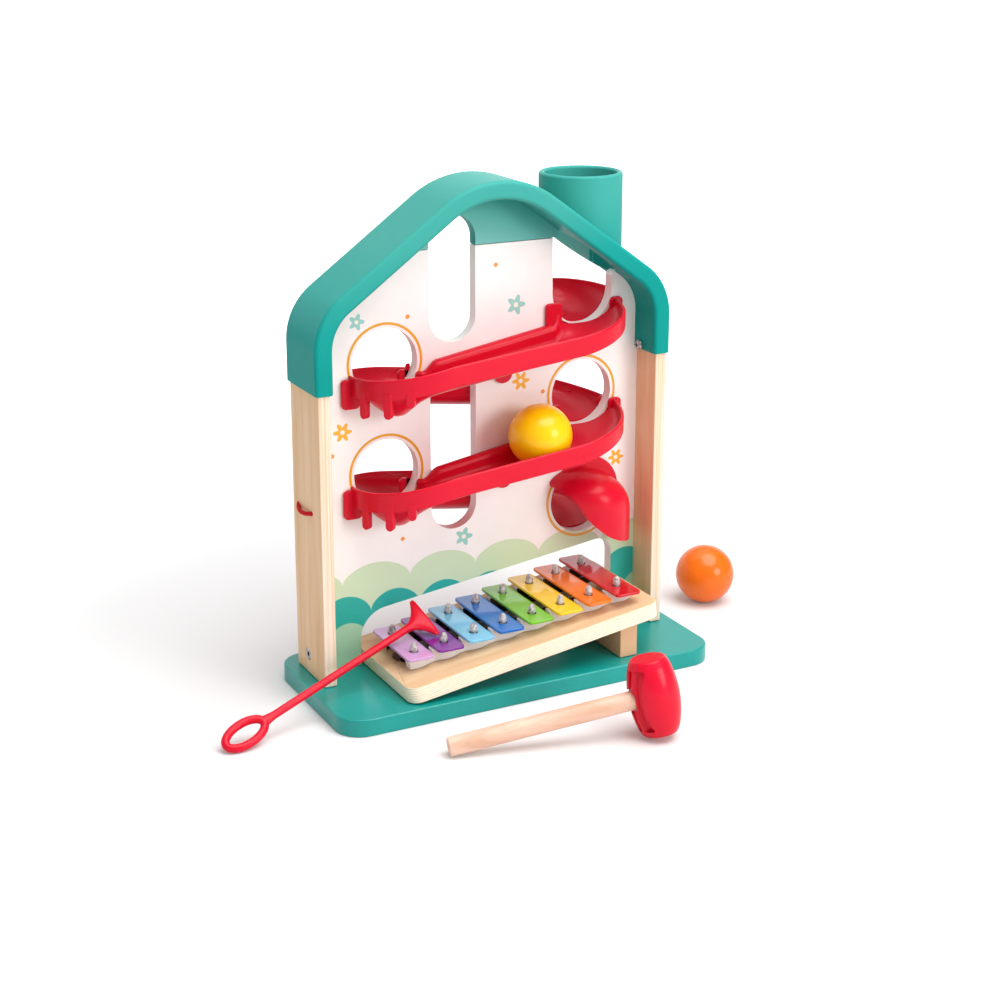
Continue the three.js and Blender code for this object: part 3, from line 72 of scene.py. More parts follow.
# %% [markdown]
# ## Two ways to lay points
# Most pieces start from one of two primitives. A skin is a grid whose rows are laid on rings, like the
# frames of a boat. A plate is a filled circle whose points are laid on an outline, then extruded. Both
# could be pulled into shape by hand in edit mode. Laid by number, every size stays in the script.

# %% Skins and plates
def select_only(piece):
    bpy.ops.object.select_all(action="DESELECT")
    bpy.context.view_layer.objects.active = piece
    piece.select_set(True)


def edit_all(piece):
    select_only(piece)
    bpy.ops.object.mode_set(mode="EDIT")
    bpy.ops.mesh.select_all(action="SELECT")


def new_piece(name, add_primitive, **settings):
    bpy.ops.object.select_all(action="DESELECT")
    add_primitive(**settings)
    piece = bpy.context.object
    piece.name = name
    piece.data.name = name
    return piece


def face_outwards():
    bpy.ops.mesh.select_all(action="SELECT")
    bpy.ops.mesh.normals_make_consistent(inside=False)
    bpy.ops.object.mode_set(mode="OBJECT")


def skin(name, rings, joined=False):
    rows = len(rings)
    columns = len(rings[0])
    grid = bpy.ops.mesh.primitive_grid_add
    piece = new_piece(name, grid, x_subdivisions=columns, y_subdivisions=rows if joined else rows - 1)
    for index, vertex in enumerate(piece.data.vertices):
        row, column = divmod(index, columns + 1)
        vertex.co = Vector(rings[row % rows][column % columns]) * MM
    edit_all(piece)
    bpy.ops.mesh.remove_doubles(threshold=2e-6)
    bpy.ops.mesh.fill_holes(sides=0)
    face_outwards()
    return piece


def plate(name, outline, across, start, end):
    piece = new_piece(name, bpy.ops.mesh.primitive_circle_add, vertices=len(outline), fill_type="NGON")
    for vertex, (u, v) in zip(piece.data.vertices, outline):
        vertex.co = Vector((u, start, v) if across == "Y" else (u, v, start)) * MM
    edit_all(piece)
    lift = (0, (end - start) * MM, 0) if across == "Y" else (0, 0, (end - start) * MM)
    bpy.ops.mesh.extrude_region_move(TRANSFORM_OT_translate={"value": lift})
    face_outwards()
    return piece


def lathe(name, profile, steps=48):
    rings = []
    for radius, height in profile:
        turns = [2 * pi * step / steps for step in range(steps)]
        rings.append([(radius * cos(turn), radius * sin(turn), height) for turn in turns])
    return skin(name, rings)


# %% Outlines
def arc(x, y, radius, start, end, steps):
    turns = [radians(start + (end - start) * step / steps) for step in range(steps + 1)]
    return [(x + radius * cos(turn), y + radius * sin(turn)) for turn in turns]


def rounded(x0, x1, y0, y1, radius, steps=8):
    corners = arc(x1 - radius, y1 - radius, radius, 0, 90, steps)
    corners += arc(x0 + radius, y1 - radius, radius, 90, 180, steps)
    corners += arc(x0 + radius, y0 + radius, radius, 180, 270, steps)
    corners += arc(x1 - radius, y0 + radius, radius, 270, 360, steps)
    return corners


print("a rounded square has", len(rounded(0, 10, 0, 10, 2)), "points")

# %% [markdown]
# ## Cutting, easing and handing over
# A workshop drills, saws and sands. Boolean and bevel modifiers do the same here, and each is applied at
# once, so that the finished mesh is all that stays. A finished piece is then given its finish and hung on
# the empty of the body it rides on, and the CAD nodes it stands for are hidden.

# %% Carving and easing
def apply_modifier(piece, modifier):
    select_only(piece)
    bpy.ops.object.modifier_apply(modifier=modifier.name)


def carve(piece, cutter, operation="DIFFERENCE"):
    modifier = piece.modifiers.new("carve", "BOOLEAN")
    modifier.object = cutter
    modifier.operation = operation
    modifier.solver = "EXACT"
    apply_modifier(piece, modifier)
    bpy.data.objects.remove(cutter)


def ease(piece, width, segments=3, angle=40):
    modifier = piece.modifiers.new("ease", "BEVEL")
    modifier.width = width * MM
    modifier.segments = segments
    modifier.limit_method = "ANGLE"
    modifier.angle_limit = radians(angle)
    apply_modifier(piece, modifier)


def place(piece, matrix):
    piece.data.transform(matrix)
    return piece


def shift(x, y, z):
    return Matrix.Translation(Vector((x, y, z)) * MM)


def bore(x, y, z, radius, direction, length, steps=32):
    cutter = lathe("cutter", [(0, 0), (radius, 0), (radius, length), (0, length)], steps)
    turn = Vector((0, 0, 1)).rotation_difference(Vector(direction)).to_matrix().to_4x4()
    return place(cutter, shift(x, y, z) @ turn)


def box(name, x0, x1, y0, y1, z0, z1):
    return plate(name, [(x0, y0), (x1, y0), (x1, y1), (x0, y1)], "Z", z0, z1)


# %% Handing a piece over
def finish_piece(piece, body, finish, slot, *nodes, angle=35):
    select_only(piece)
    bpy.ops.object.shade_smooth_by_angle(angle=radians(angle))
    for modifier in list(piece.modifiers):
        bpy.ops.object.modifier_apply(modifier=modifier.name)
    weighted = piece.modifiers.new("weighted", "WEIGHTED_NORMAL")
    weighted.keep_sharp = True
    apply_modifier(piece, weighted)
    piece.data.materials.clear()
    piece.data.materials.append(finish)
    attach(piece, body)
    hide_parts(*nodes)
    print(piece.name, "rides on", body, "with", len(piece.data.polygons), "faces")


print(len(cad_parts), "CAD nodes wait for their visible pieces")

# %% [markdown]
# ## Materials
# Every finish is made of nodes on object coordinates, so it stays with its piece. A painted image would
# be another way, but nodes stay sharp at any size. A small set of node helpers comes first. Colours are
# written as red, green and blue up to 255, as a colour chart gives them.

# %% Node helpers
def colour(red, green, blue):
    parts = []
    for value in (red, green, blue):
        share = value / 255
        parts.append(share / 12.92 if share <= 0.04045 else ((share + 0.055) / 1.055) ** 2.4)
    return (*parts, 1)


class Nodes:
    def __init__(self, tree):
        self.tree = tree

    def node(self, kind, **settings):
        made = self.tree.nodes.new(kind)
        for key, value in settings.items():
            setattr(made, key, value)
        return made

    def link(self, output, target):
        self.tree.links.new(output, target)

    def axes(self, vector):
        made = self.node("ShaderNodeSeparateXYZ")
        self.link(vector, made.inputs["Vector"])
        return [made.outputs[axis] for axis in "XYZ"]

    def math(self, operation, first, second=0.0, third=None):
        made = self.node("ShaderNodeMath", operation=operation)
        for socket, value in zip(made.inputs, (first, second, third)):
            if value is None:
                continue
            if isinstance(value, (int, float)):
                socket.default_value = value
            else:
                self.link(value, socket)
        return made.outputs["Value"]

    def span(self, value, start, end, low=0.0, high=1.0, soft=False):
        made = self.node("ShaderNodeMapRange", interpolation_type="SMOOTHSTEP" if soft else "LINEAR")
        for name, number in (("From Min", start), ("From Max", end), ("To Min", low), ("To Max", high)):
            made.inputs[name].default_value = number
        self.link(value, made.inputs["Value"])
        return made.outputs["Result"]


print("white is", colour(255, 255, 255))

# %% [markdown]
# A finish is one material. Its shader starts with plain values for roughness, coat and gloss. Colour,
# roughness and relief are then linked to noise, stripes and ramps, which a few short methods add.

# %% Finish helpers
class Finish(Nodes):
    def __init__(self, name, roughness, coat=0.0, gloss=0.5):
        self.material = bpy.data.materials.new(name)
        self.material.use_nodes = True
        super().__init__(self.material.node_tree)
        self.shader = self.tree.nodes["Principled BSDF"]
        self.shader.inputs["Roughness"].default_value = roughness
        self.shader.inputs["Specular IOR Level"].default_value = gloss
        self.shader.inputs["Coat Weight"].default_value = coat
        self.shader.inputs["Coat Roughness"].default_value = 0.12
        coordinates = self.node("ShaderNodeTexCoord")
        self.coords, self.normal = coordinates.outputs["Object"], coordinates.outputs["Normal"]

    def stretched(self, scale, turn=(0, 0, 0)):
        made = self.node("ShaderNodeMapping")
        made.inputs["Scale"].default_value = scale
        made.inputs["Rotation"].default_value = turn
        self.link(self.coords, made.inputs["Vector"])
        return made.outputs["Vector"]

    def noise(self, scale, detail=3.0, vector=None, rough=0.55, bend=0.0):
        made = self.node("ShaderNodeTexNoise")
        made.inputs["Scale"].default_value = scale
        made.inputs["Detail"].default_value = detail
        made.inputs["Roughness"].default_value = rough
        made.inputs["Distortion"].default_value = bend
        self.link(vector or self.coords, made.inputs["Vector"])
        return made.outputs["Fac"]

    def ramp(self, value, *stops):
        made = self.node("ShaderNodeValToRGB")
        while len(made.color_ramp.elements) < len(stops):
            made.color_ramp.elements.new(0.5)
        for element, (position, shade) in zip(made.color_ramp.elements, stops):
            element.position = position
            element.color = colour(*shade)
        self.link(value, made.inputs["Fac"])
        return made.outputs["Color"]

    def stripes(self, value, pitch):
        wave = self.math("SINE", self.math("MULTIPLY", value, 2 * pi / pitch))
        return self.math("MULTIPLY_ADD", wave, 0.5, 0.5)

    def spread(self, value, low, high):
        return self.span(value, 0.0, 1.0, low, high)

    def mix(self, share, first, second):
        made = self.node("ShaderNodeMix", data_type="RGBA")
        self.link(share, made.inputs[0])
        for socket, value in ((made.inputs[6], first), (made.inputs[7], second)):
            if isinstance(value, tuple):
                socket.default_value = colour(*value)
            else:
                self.link(value, socket)
        return made.outputs[2]

    def base(self, output):
        self.link(output, self.shader.inputs["Base Color"])

    def rough(self, output):
        self.link(output, self.shader.inputs["Roughness"])

    def bump(self, height, strength, depth):
        made = self.node("ShaderNodeBump")
        made.inputs["Strength"].default_value = strength
        made.inputs["Distance"].default_value = depth
        self.link(height, made.inputs["Height"])
        self.link(made.outputs["Normal"], self.shader.inputs["Normal"])


print(len(bpy.data.materials), "materials before the first finish")

# %% [markdown]
# ## Paint and plastic
# Paint and moulded plastic look alike: an even colour with soft clouds, a fine grain in the surface and
# a little more or less shine from spot to spot. One flat colour would be simpler, but large faces then
# look dead, so noise picks between three close shades. The base, the balls and the red mouldings have a
# thin clear coat as well. The roof's teal is painted paler towards the top left and darker low down, as
# painted light and shade, and the recessed gable is painted paler as light thrown back from the panel.

# %% Paint and plastic
def plastic(name, shades, roughness, coat=0.0, gloss=0.5, grain=0.06):
    made = Finish(name, roughness, coat, gloss)
    made.base(made.ramp(made.noise(18, 4), *zip((0.25, 0.5, 0.75), shades)))
    made.rough(made.spread(made.noise(160, 3), roughness - 0.05, roughness + 0.06))
    made.bump(made.noise(900, 2), grain, 0.0001)
    return made.material


def moulded_teal(name, low, high):
    made = Finish(name, 0.38, gloss=0.1)
    x, y, z = made.axes(made.coords)
    # Painted light and shade: the teal is paler towards the top left and darker low down, as light falls
    # from above.
    level = made.math("MULTIPLY_ADD", x, -0.2, z)
    level = made.math("MULTIPLY_ADD", made.noise(18, 4), 0.02, level)
    share = made.math("DIVIDE", made.math("SUBTRACT", level, low), high - low)
    shade = made.ramp(share, (0.0, (2, 144, 136)), (0.45, (18, 149, 141)), (1.0, (62, 160, 150)))
    # Painted light: the recessed gable face is painted a paler teal, standing in for light thrown back from
    # the panel.
    recess = made.math("LESS_THAN", made.axes(made.normal)[1], -0.7)
    recess = made.math("MULTIPLY", recess, made.math("GREATER_THAN", y, 0.015))
    glow = made.math("MULTIPLY_ADD", z, -1 / 0.034, 0.341 / 0.034)
    glow = made.math("MULTIPLY_ADD", x, -8.0, glow)
    glow = made.math("MULTIPLY", made.spread(glow, 0.0, 1.0), recess)
    made.base(made.mix(glow, shade, (122, 192, 184)))
    made.rough(made.spread(made.noise(160, 3), 0.33, 0.44))
    made.bump(made.noise(900, 2), 0.05, 0.0001)
    return made.material


BALL_SHINE = (0.28, 0.25, 0.25, 0.015)
teal_paint = plastic("teal_paint", [(4, 138, 130), (7, 146, 138), (12, 154, 146)], 0.3, 0.22, 0.3)
# Both teal finishes carry the painted light and shade of moulded_teal.
teal_plastic = moulded_teal("teal_plastic", 0.265, 0.34)
chimney_teal = moulded_teal("chimney_teal", 0.24, 0.33)
red_plastic = plastic("red_plastic", [(207, 7, 38), (213, 10, 42), (218, 14, 46)], 0.32, 0.12, 0.18)
red_cord = plastic("red_cord", [(176, 4, 16), (190, 8, 20), (200, 14, 26)], 0.5, gloss=0.12)
yellow_paint = plastic("yellow_paint", [(254, 192, 4), (255, 198, 6), (255, 204, 12)], *BALL_SHINE)
orange_paint = plastic("orange_paint", [(225, 96, 6), (230, 103, 9), (235, 110, 13)], *BALL_SHINE)
print(len(bpy.data.materials), "materials so far")

# %% [markdown]
# ## Timber
# Planed wood shows long soft grain and short pores that are a little rougher. A picture of wood could be
# wrapped round each piece, but it would show seams. Noise that is stretched along the piece gives both and
# has none. The posts' front faces get fine upright lines of grain, and a paler colour there is painted
# light, as the front faces catch more light than the sides.

# %% Timber
def timber(name, along, dark, mid, light, front=None):
    made = Finish(name, 0.5)
    grain = made.stretched([6 if axis == along else 90 for axis in "XYZ"])
    shade = made.ramp(made.noise(1, 6, grain, 0.6, 0.6), (0.3, dark), (0.48, mid), (0.68, light))
    # Painted light: front faces get a paler colour, as they catch more light than the sides. The fine lines
    # are grain.
    if front:
        edge = made.math("LESS_THAN", made.axes(made.normal)[1], -0.6)
        lines = made.noise(1, 4, made.stretched((420, 420, 3)), 0.6)
        shade = made.mix(edge, shade, made.ramp(lines, (0.32, mid), (0.55, front)))
    made.base(shade)
    pores = made.noise(1, 3, made.stretched([60 if axis == along else 900 for axis in "XYZ"]))
    made.rough(made.spread(pores, 0.44, 0.6))
    made.bump(pores, 0.12, 0.0001)
    return made.material


# The last colour is the paler front, which is painted light.
post_wood = timber("post_wood", "Z", (216, 172, 124), (228, 187, 143), (236, 202, 164), (238, 219, 202))
handle_wood = timber("handle_wood", "X", (212, 164, 136), (226, 182, 158), (236, 198, 176))
print(post_wood.name, "and", handle_wood.name, "are ready")

# %% [markdown]
# ## The holder cord
# A short red cord hangs between two bores in the left post, where the mallet can be put away. It is
# knotted on the inner side. A cord could be a swept mesh, but a curve with a round bevel is simpler. Its
# few stops are smoothed by a Catmull-Rom spline, so that no bend is tight.

# %% Cord route
CORD_Z, KNOT_X, KNOT_LIFT = 134.6, -124.3, 0.8
CORD_MIDDLE, KNOT_REACH, CORD_RADIUS = 25, 15.6, 1.5


def smooth_route(points, steps):
    route = []
    padded = [points[0] * 2 - points[1], *points, points[-1] * 2 - points[-2]]
    for before, start, end, after in zip(padded, padded[1:], padded[2:], padded[3:]):
        for step in range(steps):
            t = step / steps
            bend = (end - before) * t + (before * 2 - start * 5 + end * 4 - after) * t ** 2
            route.append(start + (bend + (start * 3 - before - end * 3 + after) * t ** 3) / 2)
    return [*route, points[-1]]


half_route = [
    (KNOT_X, KNOT_REACH, KNOT_LIFT), (-129, KNOT_REACH, KNOT_LIFT), (-131.7, 15.2, 0.7), (-134, 14, 0.5),
    (-135.7, 12, 0), (-137.8, 6.2, -1.3),
]
stops = [(x, CORD_MIDDLE - reach, z) for x, reach, z in half_route]
stops += [(-138.6, CORD_MIDDLE, -1.7)]
stops += [(x, CORD_MIDDLE + reach, z) for x, reach, z in reversed(half_route)]
route = smooth_route([Vector((x, y, CORD_Z + z)) * MM for x, y, z in stops], 6)

# %% Cord and knots
cord_curve = bpy.data.curves.new("holder_cord_line", "CURVE")
cord_curve.dimensions = "3D"
cord_curve.bevel_depth = CORD_RADIUS * MM
cord_curve.bevel_resolution = 5
spline = cord_curve.splines.new("POLY")
spline.points.add(len(route) - 1)
for point, spot in zip(spline.points, route):
    point.co = (*spot, 1)
cord = bpy.data.objects.new("holder_cord_line", cord_curve)
bpy.context.scene.collection.objects.link(cord)
cord_curve.materials.append(red_cord)
knots = []
for number, side in enumerate((-1, 1)):
    wraps = []
    for step in range(64):
        turn = 2 * pi * step / 64
        swell = 1.9 + 0.35 * sin(3 * turn)
        ring = []
        for facet in range(12):
            tube = 2 * pi * facet / 12
            out = swell + 1.2 * cos(tube)
            up = 0.9 * sin(2 * turn) + 1.2 * sin(tube)
            y = CORD_MIDDLE + side * KNOT_REACH + out * cos(turn)
            ring.append((KNOT_X + up, y, CORD_Z + KNOT_LIFT + out * sin(turn)))
        wraps.append(ring)
    knots.append(skin(f"holder_knot_{number + 1}", wraps, joined=True))
for knot in knots:
    finish_piece(knot, "house", red_cord, "red_cord", "holder_cord")
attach(cord, "house")
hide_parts("holder_cord")

# %% [markdown]
# ## Base board
# A solid board with round corners and eased edges, painted teal. A real one is sawn, routed round its
# edge and drilled from below for two bolts. The plate, the bevel and the bores follow the same steps.

# %% Base board
base = plate("base", rounded(-146, 146, -64, 64, 19, 14), "Z", 0, 12.5)
ease(base, 1.1, 4)
for side in (-1, 1):
    carve(base, bore(side * 131.8, 26.5, -1, 4.6, (0, 0, 1), 4.6))
finish_piece(base, "house", teal_paint, "teal_paint", "base_board")

# %% [markdown]
# ## Posts
# Two planed battens stand on the base and carry the roof. Both have a bore for a barrel nut, and the left
# one has two slanted bores for the cord. A scaled cube would have the form, but edges that are too sharp.
# So the edges are eased first, as with sandpaper, and the bores are cut after that, with crisp rims.

# %% Posts
POST_INNER, POST_OUTER = 126.7, 135.7
for name, side in (("left_post", -1), ("right_post", 1)):
    x0, x1 = sorted((side * POST_INNER, side * POST_OUTER))
    post = box(name + "_batten", x0, x1, -4, 47, 12.8, 248)
    ease(post, 0.9, 3)
    carve(post, bore(side * 138, 26.5, 27, 4.5, (-side, 0, 0), 7.6))
    if name == "left_post":
        for slant in (-1, 1):
            way_in = (9, slant * 4, 0.9)
            carve(post, bore(-137.2, CORD_MIDDLE + slant * 11.4, CORD_Z - 0.2, 1.9, way_in, 13))
    finish_piece(post, "house", post_wood, "pale_wood", name)

# %% [markdown]
# ## The arch's line
# The roof's front view is one band: upright legs, round eaves, straight slopes and a round ridge. The
# same line, drawn further in, gives the panel's outline and the cut of the chimney's foot. It could be
# drawn as a curve, but arcs by number can be moved in by any inset.

# %% Roof outline
ROOF_PITCH = 36
SLOPE_TURN = 90 - ROOF_PITCH
EAVE_X, EAVE_Z, EAVE_RADIUS = 92.6, 249.18, 45
RIDGE_Z, RIDGE_RADIUS = 282.6, 72.4
LEG_BOTTOM = 220.5


def eave_arc(inset):
    return arc(EAVE_X, EAVE_Z, EAVE_RADIUS - inset, 0, SLOPE_TURN, 14)


def ridge_arc(inset):
    return arc(0, RIDGE_Z, RIDGE_RADIUS - inset, SLOPE_TURN, 180 - SLOPE_TURN, 20)


def arch(inset):
    right = [(EAVE_X + EAVE_RADIUS - inset, LEG_BOTTOM), *eave_arc(inset)]
    return right + ridge_arc(inset) + [(-x, z) for x, z in reversed(right)]


def slope_x(inset, z):
    drop = (z - RIDGE_Z) * cos(radians(ROOF_PITCH))
    return (RIDGE_RADIUS - inset - drop) / sin(radians(ROOF_PITCH))


print("roof spans", round(arch(0)[0][0] * 2, 1), "mm")

# %% [markdown]
# ## Roof arch
# A moulded teal arch with soft edges sits over the posts. Behind its front edge a thinner gable closes
# the gap above the panel. The ball's way goes down through the right slope. A bevel on a sharp arch
# would be uneven at the eaves, so the rounded section is carried along the arch's line as a skin.

# %% Roof arch
BAND, ROOF_FRONT, ROOF_BACK = 13, -5.9, 48.9
GABLE_BOTTOM, GABLE_INSET = 307.3, 12
SLOT_X, SLOT_HALF, SLOT_TOP = -23.7, 17.75, 330
CHIMNEY_X, CHIMNEY_Y, CHIMNEY_BORE = 83.6, 33, 26
section = rounded(0, BAND, ROOF_FRONT, ROOF_BACK, 2.8, 6)
lines = [arch(inset) for inset, y in section]
rings = []
for station in range(len(lines[0])):
    rings.append([(line[station][0], y, line[station][1]) for line, (inset, y) in zip(lines, section)])
roof = skin("roof", rings)
ease(roof, 0.8, 2, 60)
gable_half = slope_x(GABLE_INSET, GABLE_BOTTOM)
gable_line = [(gable_half, GABLE_BOTTOM), *ridge_arc(GABLE_INSET), (-gable_half, GABLE_BOTTOM)]
gable = plate("gable", gable_line, "Y", 22, 31)
slot_round = arc(SLOT_X, SLOT_TOP - SLOT_HALF, SLOT_HALF, 0, 180, 24)
slot_end = [(SLOT_X + SLOT_HALF, 290), *slot_round, (SLOT_X - SLOT_HALF, 290)]
carve(gable, plate("cutter", slot_end, "Y", 10, 40))
ease(gable, 0.7, 2)
carve(roof, gable, "UNION")
carve(roof, bore(CHIMNEY_X, CHIMNEY_Y, 225, CHIMNEY_BORE, (0, 0, 1), 120, 64))
carve(roof, box("cutter", 55.4, 104.2, 21, 32, 267, 307.6))
for side in (-1, 1):
    x0, x1 = sorted((side * 126.4, side * 136))
    carve(roof, box("cutter", x0, x1, -4.3, 47.3, 200, 248.3))
finish_piece(roof, "house", teal_plastic, "teal_plastic", "roof_arch")

# %% [markdown]
# ## Chimney
# A straight tube with a rounded rim, where balls are dropped in. It is turned from its profile like a
# cup on a lathe, and two plates of the arch's own line cut its foot to the roof's slope.

# %% Chimney
rim = arc(28, 349.5, 2, 0, 180, 10)
tube_line = [(CHIMNEY_BORE, 240), (30, 240), (30, 300), *rim, (CHIMNEY_BORE, 300), (CHIMNEY_BORE, 240)]
chimney = lathe("chimney", tube_line, 72)
place(chimney, shift(CHIMNEY_X, CHIMNEY_Y, 0))
carve(chimney, plate("cutter", arch(-0.3), "Y", -66, 49.2))
carve(chimney, plate("cutter", arch(12.7), "Y", 48.9, 110))
finish_piece(chimney, "house", chimney_teal, "teal_plastic", "chimney_tube")

# %% [markdown]
# ## House panel
# A thin board painted warm white stands in grooves of the posts, with five ball holes, two tall slots
# and a low window for the xylophone. A jigsaw and a hole saw would cut them from one board, and so does
# a boolean for each opening here.

# %% Panel shape
PANEL_TOP, PANEL_INSET = 307, 8.3
LEFT_HOLE_X, RIGHT_HOLE_X, HOLE_RADIUS = -75.6, 79.8, 24.4
HOLES = [(LEFT_HOLE_X, 231.5), (RIGHT_HOLE_X, 191.5), (LEFT_HOLE_X, 152.5), (RIGHT_HOLE_X, 109.5)]
right_side = [(129.3, 12.8), *eave_arc(PANEL_INSET), (slope_x(PANEL_INSET, PANEL_TOP), PANEL_TOP)]
panel = plate("panel", right_side + [(-x, z) for x, z in reversed(right_side)], "Y", 22, 31)


def upright_slot(x, half, bottom, top):
    return arc(x, top - half, half, 0, 180, 24) + arc(x, bottom + half, half, 180, 360, 24)


cuts = [arc(x, z, HOLE_RADIUS, 0, 354.375, 63) for x, z in HOLES]
cuts.append(upright_slot(RIGHT_HOLE_X, HOLE_RADIUS, 242.6, 360))
cuts.append(upright_slot(SLOT_X, SLOT_HALF, 240.5, SLOT_TOP))
cuts.append(upright_slot(SLOT_X, SLOT_HALF, 103.4, 226))
slope = atan2(78 - 51, 107 + 97.6)
left_z = 51 + 22 * (tan(slope) - 1 / cos(slope))
right_z = 78 - 12 * (tan(slope) + 1 / cos(slope))
lean = 90 + slope * 180 / pi
window = [(-97.6, 2), (107, 2), *arc(95, right_z, 12, 0, lean, 10), *arc(-75.6, left_z, 22, lean, 180, 12)]
cuts.append(window)
cuts.append([(100, 274.9), *arc(108.2, 274.9, 4, 180, 54, 8), (120, 271.3), (130, 295), (100, 295)])
for outline in cuts:
    carve(panel, plate("cutter", outline, "Y", 15, 40))
ease(panel, 0.5, 2)
print("the panel has", len(cuts), "cuts")

# %% [markdown]
# The holes carry a thin printed ring. Round the lower edge the print is three rows of scallops, like
# hills, with small flowers and dots above. It could be an image laid on the board. Here each motif is a
# mask of distance or height in the finish, and only the front face shows them.

# %% Masks for the print
white = Finish("panel_print", 0.42, 0.1)
across, height = white.axes(white.coords)[::2]
front = white.math("LESS_THAN", white.axes(white.normal)[1], -0.7)


def away(x, z):
    return white.math("SUBTRACT", across, x * MM), white.math("SUBTRACT", height, z * MM)


def distance(x, z):
    squares = [white.math("MULTIPLY", side, side) for side in away(x, z)]
    return white.math("SQRT", white.math("ADD", *squares))


def within(value, limit):
    return white.span(value, (limit + 0.15) * MM, (limit - 0.15) * MM)


def any_of(masks):
    result = masks[0]
    for mask in masks[1:]:
        result = white.math("MAXIMUM", result, mask)
    return result


def scallops(level, pitch, rise, phase):
    turn = white.math("MULTIPLY_ADD", across, pi / (pitch * MM), phase)
    arches = white.math("SQRT", white.math("ABSOLUTE", white.math("SINE", turn)))
    edge = white.math("MULTIPLY_ADD", arches, rise * MM, level * MM)
    return within(white.math("SUBTRACT", height, edge), 0)


def flower(x, z, size, petals):
    along, up = away(x, z)
    turn = white.math("ARCTAN2", up, along)
    petal = white.math("COSINE", white.math("MULTIPLY", turn, petals))
    edge = white.math("MULTIPLY_ADD", petal, 0.24 * size * MM, 0.76 * size * MM)
    return within(white.math("SUBTRACT", distance(x, z), edge), 0)


print("the print uses", len(white.tree.nodes), "nodes before its motifs")

# %% Panel print
hoops = []
for x, z in HOLES:
    gap = white.math("ABSOLUTE", white.math("SUBTRACT", distance(x, z), 27.4 * MM))
    hoops.append(within(gap, 0.95))
warm_spots = [(-108, 186, 7), (30, 206, 7), (110, 138, 6.5)]
cool_spots = [(26, 262, 7.5), (-16, 96, 7), (-96, 262, 6)]
warm_flowers = any_of([flower(x, z, size, 6) for x, z, size in warm_spots])
cool_flowers = any_of([flower(x, z, size, 5) for x, z, size in cool_spots])
hearts = any_of([within(distance(x, z), size * 0.24) for x, z, size in warm_spots + cool_spots])
dot_spots = [(10, 292), (-58, 262), (-116, 170), (48, 196), (100, 152), (-64, 102)]
dots = any_of([within(distance(x, z), 1.6) for x, z in dot_spots])
paper = white.ramp(white.noise(40, 4), (0.3, (246, 241, 238)), (0.7, (251, 247, 244)))
design = white.mix(scallops(74, 52, 14, 0.4), paper, (206, 226, 190))
design = white.mix(scallops(52, 38, 14, 1.1), design, (30, 172, 160))
design = white.mix(scallops(34, 30, 12, 0.2), design, (165, 208, 176))
design = white.mix(warm_flowers, design, (244, 178, 36))
design = white.mix(cool_flowers, design, (150, 208, 198))
design = white.mix(hearts, design, (250, 240, 226))
design = white.mix(dots, design, (236, 150, 60))
design = white.mix(any_of(hoops), design, (228, 164, 28))
white.base(white.mix(front, paper, design))
white.rough(white.spread(white.noise(120, 3), 0.36, 0.48))
white.bump(white.noise(700, 2), 0.08, 0.0001)
finish_piece(panel, "house", white.material, "white_paint", "house_panel")

# %% [markdown]
# ## Tracks
# Four moulded troughs lead the ball to and fro, two in front of the panel and two behind it. Each leaves
# a hole in a bend, runs down a gentle slope and bends into the next hole. The cross-section is a U. Its
# near side rolls over in a soft shoulder, and its far side has a tall rim with a skirt outside. A curve
# with a bevel profile would keep one section all the way. Here the section is laid anew at stations, so
# the floor drops and the rims rise as on the real one.

# %% Track law
MIDDLE = 27.8
FALL = 0.131
LUG_X = 14.6
HALF, WALL, LIP = 25, 2.2, 1.1
HOLE_TO_FLOOR = 23.2
WALL_STEPS = 10
print("the run falls", round(FALL / MM), "mm per metre")


def between(start, end, share):
    return start + (end - start) * share


